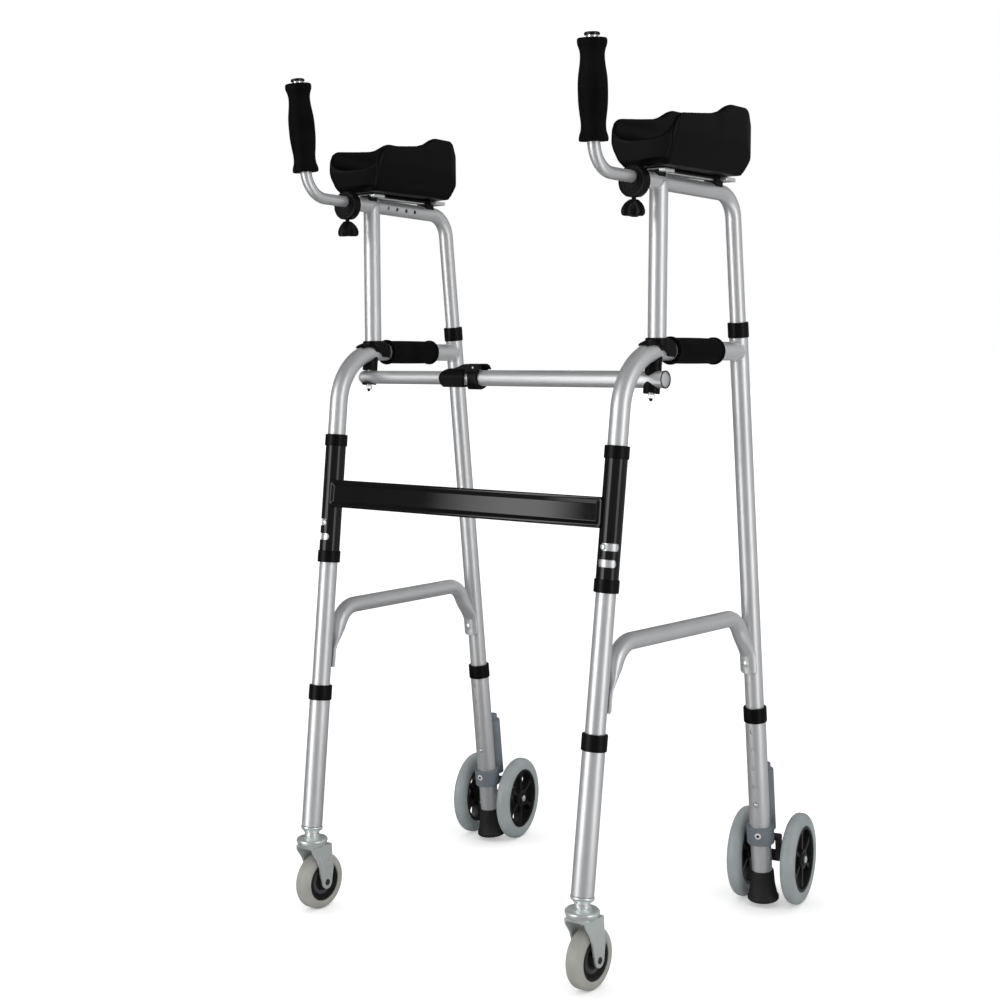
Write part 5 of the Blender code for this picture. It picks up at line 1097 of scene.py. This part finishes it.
def leverMesh():
    # a half shell over the thin tube with a round nose, and the knuckle that climbs to the pin
    left, right, skirt, nose = lock["leverLeft"], lock["leverRight"], lock["skirt"], lock["nose"]
    inner = bar["thin"] / 2 + 0.0008
    outer = inner + lock["shellWall"]
    wrap = [(outer - 0.0008, -skirt)] + arc((0, 0), outer, 0, 180, 48) + [(0.0008 - outer, -skirt)]
    wrap += [(0.0006 - inner, -skirt)] + arc((0, 0), inner, 180, 0, 48) + [(inner - 0.0006, -skirt)]
    shell = moved(prism([(-n, z) for n, z in wrap], right - left), move((left + right) / 2, 0, 0) @ stand)
    noseTool = moved(rod(2 * nose, -0.02, 0.02, 72), move(left + nose, 0, -0.0002) @ turn(90, "X"))
    tongueTool = slab((right - left, 0.05, 0.06), (left + nose + (right - left) / 2, 0, 0))
    shell = common(shell, united(noseTool, tongueTool))
    pinX, rise = lock["pinX"], lock["pinRise"]
    high = rise + lock["leverRise"]
    ramp = [(left + 0.013, outer - 0.0016), (left + 0.020, outer - 0.0004), (-0.0760, outer + 0.0004),
            (-0.0700, rise + 0.0012), (-0.0620, rise + 0.0042), (-0.0570, high), (pinX - 0.003, high)]
    ramp += arc((pinX, rise), 0.0033, 50, -90, 14) + [(pinX - 0.008, rise - 0.0026),
                                                      (right - 0.002, outer - 0.0016)]
    knuckle = moved(prism(ramp, 2 * lock["knuckleHalf"]), turn(90, "X"))
    pin = moved(rod(lock["pin"] + 0.0006, -0.02, 0.02, 24), move(pinX, 0, rise) @ turn(90, "X"))
    return bevelled(cut(united(shell, knuckle), pin), 0.0007, 3, 40)


pinForm = rod(lock["pin"], -lock["cheekHalf"] - 0.0006, lock["cheekHalf"] + 0.0006, 28, 0.0004)
pinPlace = barAxis @ move(lock["pinX"], 0, lock["pinRise"]) @ turn(90, "X")
for name, mesh, look, body, place, stands, sharp in (
        ("thinBar", thinBarMesh(), "crossAluminium", "left_bar", barAxis, ["left_bar_tube"], 40),
        ("thickBar", thickBarMesh(), "crossAluminium", "right_bar", barAxis, ["right_bar_tube"], 40),
        ("thickBarCap", barCapMesh(), "blackPlastic", "right_bar", barAxis, (), 35),
        ("thickBarPlug", barPlugMesh(), "crossAluminium", "right_bar", barAxis, (), 35),
        ("lockCollar", lockCollarMesh(), "blackPlastic", "right_bar", barAxis, ["bar_lock_collar"], 40),
        ("lockPin", pinForm, "palePlastic", "right_bar", pinPlace, (), 35),
        ("lockLever", leverMesh(), "blackPlastic", "bar_lock_lever", barAxis, ["bar_lock_lever"], 40)):
    piece(name, mesh, look, body, 1, place, stands, sharp)
print("telescopic bar made")

# Leg extensions and snap buttons
extension = {
    "outer": 0.0286, "collar": 0.0324, "collarLength": 0.0208, "frontTop": 0.3102, "rearTop": 0.2835,
    "holes": 5, "pitch": 0.026, "hole": 0.0076, "button": 0.0066, "proud": 0.0016,
    "leaf": (0.0072, 0.024, 0.0010),
    "tipClearance": 0.0085, "tipSole": 0.008,
}


def extensionMesh(along, top, bottom, button, facing):
    tube = ringBar(extension["outer"] / 2, legRadius + sliding, bottom, top, 0.0012, 72)
    tools = []
    for i in range(extension["holes"]):
        place = buttonPlace(Matrix.Identity(4), along(button) + extension["pitch"] * i, facing)
        tools.append(moved(rod(extension["hole"], 0.005, 0.03, 28), place))
    return cut(tube, *tools)


def extensionCollar(top):
    return ringBar(extension["collar"] / 2, legRadius + sliding, top - extension["collarLength"], top, 0.0012,
                   72)


def buttonMesh():
    leafTop = legRadius - stance["tubeWall"] - 0.0018
    radius, top = extension["button"] / 2, extension["outer"] / 2 + extension["proud"]
    pin = turned([(0, top), (radius * 0.45, top - 0.0002), (radius * 0.8, top - 0.0008),
                  (radius, top - 0.0020), (radius, leafTop - 0.001), (0, leafTop - 0.001)], 28)
    return gathered(pin, slab(extension["leaf"], (0, 0, leafTop - extension["leaf"][2] / 2), 0.0003, 2))


frontUpper, rearUpper = alongFront(extension["frontTop"]), alongRear(extension["rearTop"])
rearBottom = alongRear(extension["tipClearance"]) + extension["tipSole"] + seated
frontForm = extensionMesh(alongFront, frontUpper, 0.0, sideParts["frontButton"], 1)
rearForm = extensionMesh(alongRear, rearUpper, rearBottom, sideParts["rearButton"], -1)
frontButtonPlace = sideFrame @ buttonPlace(frontAxis, alongFront(sideParts["frontButton"]), 1)


def rearButtonPlace(side):
    return buttonPlace(rearUnit(side), alongRear(sideParts["rearButton"]), -1)


for which, form, top, place, buttonAt in (("front", frontForm, frontUpper, sideFrame @ frontAxis,
                                           frontButtonPlace),
                                          ("rear", rearForm, rearUpper, rearUnit, rearButtonPlace)):
    body = which + "_extension"
    pair(which + "Extension", form, "satinAluminium", body, place, body, 40)
    pair(which + "ExtensionCollar", extensionCollar(top), "blackPlastic", body, place)
    pair(which + "Button", buttonMesh(), "brightZinc", which + "_snap_button", buttonAt, which
         + "_snap_button")
print("leg extensions made")

# Castors
castor = {
    "plate": 0.0430, "plateHeight": 0.0965, "plateThickness": 0.0062, "neck": 0.020, "race": 0.0410,
    "raceHeight": 0.0055, "trail": 0.014, "radius": 0.038, "width": 0.024, "hub": 0.026, "gap": 0.0276,
    "fork": 0.0026, "crown": 0.037, "lean": 0.004, "eye": 0.009, "boss": 0.009, "axle": 0.008, "plug": 0.018,
}


def castorPlateMesh():
    # the plug in the leg with its flange, and the domed plate on its neck
    low, radius, neck = castor["plateHeight"], castor["plate"] / 2, castor["neck"] / 2
    top, neckTop, inLeg = low + castor["plateThickness"], stance["footHeight"] - 0.004, legRadius - seated
    plug = turned([(0, castor["plug"]), (legRadius - 0.0015, castor["plug"]),
                   (inLeg, castor["plug"] - 0.0015),
                   (inLeg, -0.0001), (0.0146, -0.0001), (0.0151, -0.0012), (0.0150, -0.0026),
                   (0.0138, -0.0046), (0.0112, -0.0066), (0.0102, -0.0082), (0, -0.0082)], 64)
    plateForm = turned([(0, neckTop), (neck, neckTop), (neck, top + 0.0030), (neck + 0.0010, top + 0.0012),
                        (neck + 0.0030, top + 0.0002), (radius - 0.0050, top - 0.0008),
                        (radius - 0.0016, top - 0.0018), (radius - 0.0003, top - 0.0030),
                        (radius, top - 0.0042), (radius, low + 0.0005), (radius - 0.0006, low), (0, low)], 80)
    return gathered(plateForm, moved(plug, frontAxis))


def castorForkMesh():
    raceTop = castor["plateHeight"] - seated
    raceLow = raceTop - castor["raceHeight"]
    radius = castor["race"] / 2
    race = turned([(0, raceTop), (radius - 0.0006, raceTop), (radius, raceTop - 0.0007),
                   (radius, raceTop - 0.0022), (radius - 0.0010, raceTop - 0.0036),
                   (radius - 0.0030, raceLow - 0.0008), (0, raceLow - 0.0010)], 72)
    front, top = castor["lean"] - castor["crown"] / 2, raceLow - 0.0002
    rear = front + castor["crown"]
    outline = [(front, top), (front + 0.0002, top - 0.0060), (front + 0.0026, top - 0.0100),
               (front + 0.0068, top - 0.0150), (front + 0.0106, top - 0.0210), (front + 0.0136, top - 0.0290),
               (front + 0.0152, top - 0.0380)]
    outline += arc((castor["trail"], castor["radius"]), castor["eye"], 186, 354, 28)
    outline += [(rear + 0.0035, top - 0.0330), (rear + 0.0010, top - 0.0160), (rear, top)]
    whole = moved(prism(outline, castor["gap"] + 2 * castor["fork"]), stand)
    gapTool = slab((castor["gap"], 0.08, 0.12), (0, 0.01, top - castor["fork"] - 0.06))
    return gathered(bevelled(cut(whole, gapTool), 0.0010, 3, 40), race)


def castorTyreMesh():
    radius, half, rim, shoulder = castor["radius"], castor["width"] / 2, castor["hub"], 0.0075
    right = [(rim, half * 0.80), (rim + 0.0006, half * 0.90), (rim + 0.0022, half - 0.0002),
             (rim + 0.0046, half - 0.0006)]
    right += [(radius - shoulder + shoulder * math.sin(a), half - 0.0010 - 0.0058 * (1 - math.cos(a)))
              for a in map(math.radians, (10, 25, 40, 55, 70, 82))]
    return evenTurned(right + [(radius - 0.00005, half * 0.30), (radius, half * 0.10)], 120)


def castorHubMesh():
    half, rim, boss, bore = castor["width"] / 2, castor["hub"], castor["boss"], castor["axle"] / 2 + sliding
    return evenTurned([(bore, half + 0.0002), (boss - 0.0008, half + 0.0002), (boss, half - 0.0008),
                       (boss + 0.0010, half - 0.0052), (boss + 0.0030, half - 0.0062),
                       (rim - 0.0064, half - 0.0058), (rim - 0.0040, half - 0.0024),
                       (rim - 0.0030, half - 0.0012), (rim - 0.0012, half - 0.0011), (rim, half - 0.0020)],
                      96)


def innerRingMesh():
    face = castor["width"] / 2 - 0.0050
    return bothEnds([(0.0128, face - 0.0010), (0.0134, face), (0.0176, face), (0.0182, face - 0.0010)], 72)


def castorAxleMesh():
    reach = castor["gap"] / 2 + castor["fork"]
    heads = bothEnds([(0, reach + 0.0012), (0.0034, reach + 0.0011), (0.0042, reach + 0.0005),
                      (0.0044, reach - 0.0006), (0, reach - 0.0006)], 32)
    return gathered(rod(castor["axle"], -reach + 0.0004, reach - 0.0004, 40), heads)


swivelPoint = sideFrame @ Vector((0, 0, castor["plateHeight"]))
castorFloor = move(swivelPoint.x, swivelPoint.y, 0)
castorAxle = castorFloor @ move(0, castor["trail"], castor["radius"]) @ turn(90, "Y")
pair("castorPlate", castorPlateMesh(), "brightZinc", "front_extension", sideFrame, "castor_plate", 40)
pair("castorFork", castorForkMesh(), "brightZinc", "castor_fork", castorFloor, "castor_fork", 40)
pair("castorAxle", castorAxleMesh(), "darkSteel", "castor_fork", castorAxle)
pair("castorTyre", castorTyreMesh(), "castorTyre", "castor_wheel", castorAxle, "castor_wheel", 45)
pair("castorHub", castorHubMesh(), "hubPlastic", "castor_wheel", castorAxle)
pair("castorHubRing", innerRingMesh(), "innerRing", "castor_wheel", castorAxle)
print("castors made")

# Rear brake units
rear = {
    "radius": 0.0625, "width": 0.020, "hub": 0.045, "rimInner": 0.0405, "boss": 0.014, "bore": 0.0109,
    "spokes": 6, "spacing": 0.077, "back": 0.0285, "out": 0.004, "further": 0.005, "axle": 0.010,
    "band": 0.0384, "bandLow": 0.0895, "bandHeight": 0.0245, "housing": 0.0256, "housingLow": 0.099,
    "housingTop": 0.186, "housingCap": 0.018, "capHeight": 0.008, "plunger": 0.011, "insert": 0.052,
    "travel": 0.007, "yokeHalf": 0.020, "yoke": 0.0065, "yokeDepth": 0.015, "barrel": 0.016,
    "tipTop": 0.0330, "tipLow": 0.0440, "tipHeight": 0.042, "screwTurn": 8, "socket": 0.0022,
}
wheelHalf = rear["spacing"] / 2 + rear["width"] / 2


def rearAxle(side):
    # the wheels' axle at rest, level and behind the leg
    unit = rearUnit(side)
    start = unit @ Vector((rear["out"], rear["back"] + rear["further"], 0))
    down = unit.to_3x3() @ Vector((0, 0, 1))
    centre = start + down * (rear["radius"] - start.z) / down.z
    return Matrix.Translation(centre) @ turn(side * stance["unitTurn"], "Z") @ turn(90, "Y")


def rearTyreMesh():
    radius, half, rim, shoulder = rear["radius"], rear["width"] / 2, rear["hub"], 0.0105
    right = [(rim, half * 0.80), (rim + 0.0007, half * 0.92), (rim + 0.0022, half * 0.98),
             (rim + 0.0050, half)]
    right += [(radius - shoulder + shoulder * math.sin(a), half * (0.18 + 0.82 * math.cos(a)))
              for a in map(math.radians, (6, 16, 28, 40, 52, 64, 76, 86))]
    return evenTurned(right, 144)


def rearHubMesh():
    # rim, boss and web with open windows between the spokes
    outer, half, inner, boss = rear["hub"], rear["width"] / 2, rear["rimInner"], rear["boss"]
    bore, root = rear["bore"] / 2, rear["boss"] - 0.002
    rimRing = evenTurned([(outer, half - 0.0018), (outer - 0.0008, half - 0.0008),
                          (inner + 0.0010, half - 0.0008),
                          (inner, half - 0.0020), (inner - 0.0006, 0.0010)], 120)
    centre = turned([(bore, half + 0.0003), (boss * 0.62, half + 0.0003), (boss * 0.66, half - 0.0012),
                     (boss - 0.0022, half - 0.0012), (boss - 0.0006, half - 0.0018), (boss, half - 0.0034),
                     (boss, 0.0034 - half), (boss - 0.0006, 0.0018 - half), (boss * 0.66, 0.0012 - half),
                     (boss * 0.62, -0.0003 - half), (bore, -0.0003 - half)], 64)
    web = evenTurned([(root, 0.0018), (0.0215, 0.0018), (0.0220, 0.0012)], 64)
    edge = [(root, 0.0034), (boss + 0.006, 0.0026), (inner - 0.008, 0.0030), (inner + 0.001, 0.0060)]
    spoke = prism([(r, -w) for r, w in edge] + edge[::-1], 2 * (half - 0.0036), 0.0008)
    spokes = [moved(spoke, turn(360 * i / rear["spokes"], "Z")) for i in range(rear["spokes"])]
    return gathered(rimRing, centre, web, *spokes)


def housingMesh():
    # the spring's round housing on the back of the leg, and the band that holds it
    low, high = alongRear(rear["housingLow"]), alongRear(rear["housingTop"])
    bandLow = alongRear(rear["bandLow"])
    radius, capRadius, bore = rear["housing"] / 2, rear["housingCap"] / 2, rear["plunger"] / 2 + 0.0006
    capTop, behind = high + rear["capHeight"], move(0, rear["back"], 0)
    body = turned([(0, capTop), (capRadius - 0.0012, capTop), (capRadius - 0.0003, capTop - 0.0004),
                   (capRadius, capTop - 0.0012), (capRadius, high + 0.0010),
                   (capRadius + 0.0006, high + 0.0002),
                   (radius - 0.0016, high), (radius - 0.0004, high - 0.0005), (radius, high - 0.0016),
                   (radius, low + 0.0008), (radius - 0.0008, low), (bore, low), (bore, high - 0.004),
                   (0, high - 0.004)], 72)
    band = ringBar(rear["band"] / 2, extension["outer"] / 2 + seated, bandLow, bandLow + rear["bandHeight"],
                   0.0012, 96)
    band = cut(band, moved(rod(rear["plunger"] + 0.0012, -0.4 + low, 0.4 + low), behind))
    leg = rod(extension["outer"] + 0.0006, bandLow - 0.02, high + 0.02, 64)
    return gathered(cut(moved(body, behind), leg), band)


def tipMesh():
    bottom = alongRear(extension["tipClearance"])
    top, sole = bottom + rear["tipHeight"], bottom + extension["tipSole"]
    neck, wide, pocket = rear["tipTop"] / 2, rear["tipLow"] / 2, extension["outer"] / 2 + seated
    return turned([(pocket, top), (neck - 0.0016, top), (neck - 0.0004, top - 0.0005), (neck, top - 0.0018),
                   (neck + 0.0007, bottom + 0.024), (neck + 0.0014, bottom + 0.019),
                   (wide - 0.0020, bottom + 0.0075), (wide - 0.0004, bottom + 0.0050),
                   (wide, bottom + 0.0036),
                   (wide, bottom + 0.0009), (wide - 0.0008, bottom), (wide - 0.004, bottom),
                   (wide - 0.0046, bottom + 0.0010), (wide - 0.0066, bottom + 0.0010),
                   (wide - 0.0072, bottom), (0.004, bottom), (0.004, sole), (pocket, sole)], 80)


def armMesh(side):
    # plunger, yoke and axle barrel, which ride up on the spring together
    level = rearUnit(side).inverted() @ rearAxle(side)
    axleZ = level.translation.z
    yokeTop = alongRear(rear["housingLow"]) - rear["travel"] - 0.001
    thick, half, height = rear["yoke"], rear["yokeHalf"], yokeTop - axleZ
    parts = [rod(rear["plunger"], yokeTop - 0.003, yokeTop + rear["insert"]),
             slab((2 * half, rear["yokeDepth"], thick), (0, 0, yokeTop - thick / 2), 0.0022, 4)]
    for x in (1, -1):
        parts.append(slab((thick, rear["yokeDepth"] - 0.0004, height),
                          (x * (half - thick / 2 - seated), 0, axleZ + height / 2 - 0.001), 0.0016))
    upright = moved(gathered(*parts), move(0, rear["back"], 0))
    barrelHalf, axleHalf = wheelHalf - rear["width"] - 0.001, wheelHalf + 0.0004
    return gathered(upright, moved(rod(rear["barrel"], -barrelHalf, barrelHalf, 48, 0.0008), level),
                    moved(rod(rear["axle"], -axleHalf, axleHalf, 40), level))


def screwPlace(side):
    # on the front of the band
    place = rearUnit(side) @ move(0, 0, alongRear(rear["bandLow"]) + rear["bandHeight"] * 0.62)
    return place @ turn(rear["screwTurn"], "Z") @ move(0, -rear["band"] / 2, 0) @ turn(90, "X")


nutForm = bothEnds([(0, wheelHalf + 0.0024), (0.0030, wheelHalf + 0.0022), (0.0046, wheelHalf + 0.0014),
                    (0.0050, wheelHalf + 0.0005), (0.0050, wheelHalf + 0.0001), (0, wheelHalf + 0.0001)], 40)
screwForm = turned([(0, 0.0006), (0.0036, 0.0006), (0.0043, 0.0002), (0.0045, -0.0006), (0, -0.0006)], 40)
rearTyreForm, rearHubForm = rearTyreMesh(), rearHubMesh()
pair("brakeHousing", housingMesh(), "blueGrey", "rear_extension", rearUnit, "brake_housing", 40)
pair("bandScrew", screwForm, "palePlastic", "rear_extension", screwPlace)
pair("bandScrewSocket", prism(hexagon(rear["socket"]), 0.0016), "blackRubber", "rear_extension", screwPlace)
pair("rubberTip", tipMesh(), "blackRubber", "rear_extension", rearUnit, "rubber_tip", 40)
pair("axleArm", armMesh, "darkSteel", "axle_arm", rearUnit, "axle_arm", 40)
pair("axleNuts", nutForm, "brightSteel", "axle_arm", rearAxle)
for prefix, side in sides.items():
    for which, where in (("inner", -1), ("outer", 1)):
        body = prefix + which + "_wheel"
        place = rearAxle(side) @ move(0, 0, where * rear["spacing"] / 2)
        piece(prefix + which + "Tyre", rearTyreForm, "rearTyre", body, side, place, [body], 45)
        piece(prefix + which + "Hub", rearHubForm, "hubPlastic", body, side, place)
print("rear brake units made")

# Floor, light and camera: levels by direction in degrees from the camera's own, and by height from -1 to 1
studio = {
    "camera": (1.3597, -1.5622, 0.763), "yaw": 38.79, "lens": 57.16, "shiftY": -0.1375,
    "worldLevel": 1.0, "floorSize": 40.0, "floorColour": 0.86, "floorGlow": 0.36, "reflectedFloor": 0.85,
    "floorNear": 0.3, "floorFar": 2.2, "floorNearHeight": -0.66,
    "broad": ((-180, 0.08), (-128, 0.07), (-106, 0.18), (-84, 0.17), (-70, 0.34), (-40, 0.36), (-16, 0.26),
              (0, 0.25), (20, 0.32), (60, 0.46), (92, 0.46), (112, 0.38), (144, 0.14), (180, 0.08)),
    "strips": ((-180, 0), (-70, 0), (-67, 3.2), (-45, 3.2), (-41, 0), (33, 0), (38, 2.2), (56, 2.2), (61, 0),
               (180, 0)),
    "panel": ((-79.4, 0), (-78.4, 3.4), (-75.8, 3.4), (-74.8, 0)),
    "broadByHeight": ((-1, 0.5), (-0.77, 0.6), (-0.2, 1.0), (0.3, 1.0), (0.77, 0.5), (1, 0.35)),
    "stripByHeight": ((-1, 0), (-0.62, 0), (-0.42, 0.6), (-0.05, 0.75), (0.03, 1), (0.30, 1), (0.62, 0),
                      (1, 0)),
    "stripScale": 4.0,
}
white = (1, 1, 1, 1)


def ramped(tree, value, stops, edge, scale=1.0):
    # a level read from stops between -edge and edge
    ramp = node(tree, "ValToRGB", {"Fac": spread(tree, value, 0.0, 1.0, -edge, edge)})
    elements = ramp.color_ramp.elements
    while len(elements) < len(stops):
        elements.new(0.5)
    for element, (at, level) in zip(elements, stops):
        element.position = (at + edge) / (2 * edge)
        element.color = (level / scale, level / scale, level / scale, 1)
    return ramp.outputs["Color"]


def worked(tree, operation, first, second):
    return node(tree, "Math", {0: first, 1: second}, operation).outputs["Value"]


def dotted(tree, vector, direction):
    return node(tree, "VectorMath", {0: vector, 1: direction}, "DOT_PRODUCT").outputs["Value"]


def roomLevel(tree, vector, height, lamps):
    # the room's brightness by direction: a broad level, and narrow bright strips
    yaw, scale = math.radians(studio["yaw"]), studio["stripScale"]
    across = dotted(tree, vector, (math.cos(yaw), math.sin(yaw), 0))
    forward = dotted(tree, vector, (math.sin(yaw), -math.cos(yaw), 0))
    degrees = worked(tree, "MULTIPLY", worked(tree, "ARCTAN2", across, forward), 180 / math.pi)
    broad = worked(tree, "MULTIPLY", ramped(tree, degrees, studio["broad"], 180),
                   ramped(tree, height, studio["broadByHeight"], 1))
    strips = worked(tree, "MULTIPLY", ramped(tree, degrees, lamps, 180, scale),
                    ramped(tree, height, studio["stripByHeight"], 1))
    return worked(tree, "ADD", broad, worked(tree, "MULTIPLY", strips, scale))


def raysOf(tree):
    # how far a ray is the camera's own, and how far it is mirrored or let through
    rays = node(tree, "LightPath", {}).outputs
    return rays["Is Camera Ray"], worked(tree, "MAXIMUM", rays["Is Glossy Ray"], rays["Is Transmission Ray"])


def mixed(tree, share, first, second):
    return node(tree, "MixShader", {"Fac": share, 1: first, 2: second}).outputs["Shader"]


def whiteFloor():
    # the camera sees it white, and a reflection sees the room's own brightness carried on over it
    size, level = studio["floorSize"], studio["floorColour"]
    mesh = bpy.data.meshes.new("floor")
    mesh.from_pydata([(-size, -size, 0), (size, -size, 0), (size, size, 0), (-size, size, 0)], [],
                     [(0, 1, 2, 3)])
    made, tree, shader = newMaterial("whiteFloor", (level, level, level), 0.9)
    shader.inputs["Specular IOR Level"].default_value = 0.0
    place = node(tree, "TexCoord", {}).outputs["Object"]
    distance = node(tree, "VectorMath", {0: place}, "LENGTH").outputs["Value"]
    height = spread(tree, distance, studio["floorNearHeight"], 0.0, studio["floorNear"], studio["floorFar"])
    reflected = worked(tree, "MULTIPLY", roomLevel(tree, place, height, studio["strips"]),
                       studio["reflectedFloor"])
    mirrored = node(tree, "Emission", {"Strength": reflected}).outputs["Emission"]
    glow = node(tree, "Emission", {"Strength": studio["floorGlow"]}).outputs["Emission"]
    lit = shader.outputs["BSDF"]
    glowing = node(tree, "AddShader", {0: lit, 1: glow}).outputs["Shader"]
    direct, glossy = raysOf(tree)
    surface = mixed(tree, glossy, mixed(tree, direct, lit, glowing), mirrored)
    wired(tree, tree.nodes["Material Output"], {"Surface": surface})
    mesh.materials.append(made)
    floor = workObject(mesh, "floor")


def worldLight():
    # white to the camera, plain to matt surfaces, and the room's levels in a reflection
    world = bpy.data.worlds.new("studio")
    bpy.context.scene.world = world
    world.use_nodes = True
    world.cycles.sampling_method = "NONE"  # each ray then finds the light that its kind is given
    tree = world.node_tree
    place = node(tree, "TexCoord", {}).outputs["Generated"]
    lamps = sorted(studio["strips"] + studio["panel"])
    level = roomLevel(tree, place, dotted(tree, place, (0, 0, 1)), lamps)
    room, plain, seen = [
        node(tree, "Background", {"Color": white, "Strength": strength}).outputs["Background"]
        for strength in (level, studio["worldLevel"], 1.0)]
    direct, glossy = raysOf(tree)
    surface = mixed(tree, direct, mixed(tree, glossy, plain, room), seen)
    wired(tree, tree.nodes["World Output"], {"Surface": surface})


whiteFloor()
worldLight()
cameraData = bpy.data.cameras.new("camera")
cameraData.lens = studio["lens"]
cameraData.sensor_width = 36.0
cameraData.shift_y = studio["shiftY"]
camera = workObject(cameraData, "camera")
camera.location = offset @ Vector(studio["camera"])
camera.rotation_euler = (math.radians(90), 0, math.radians(studio["yaw"]))
bpy.context.scene.camera = camera
bpy.context.scene.view_settings.view_transform = "Standard"
print("studio set")
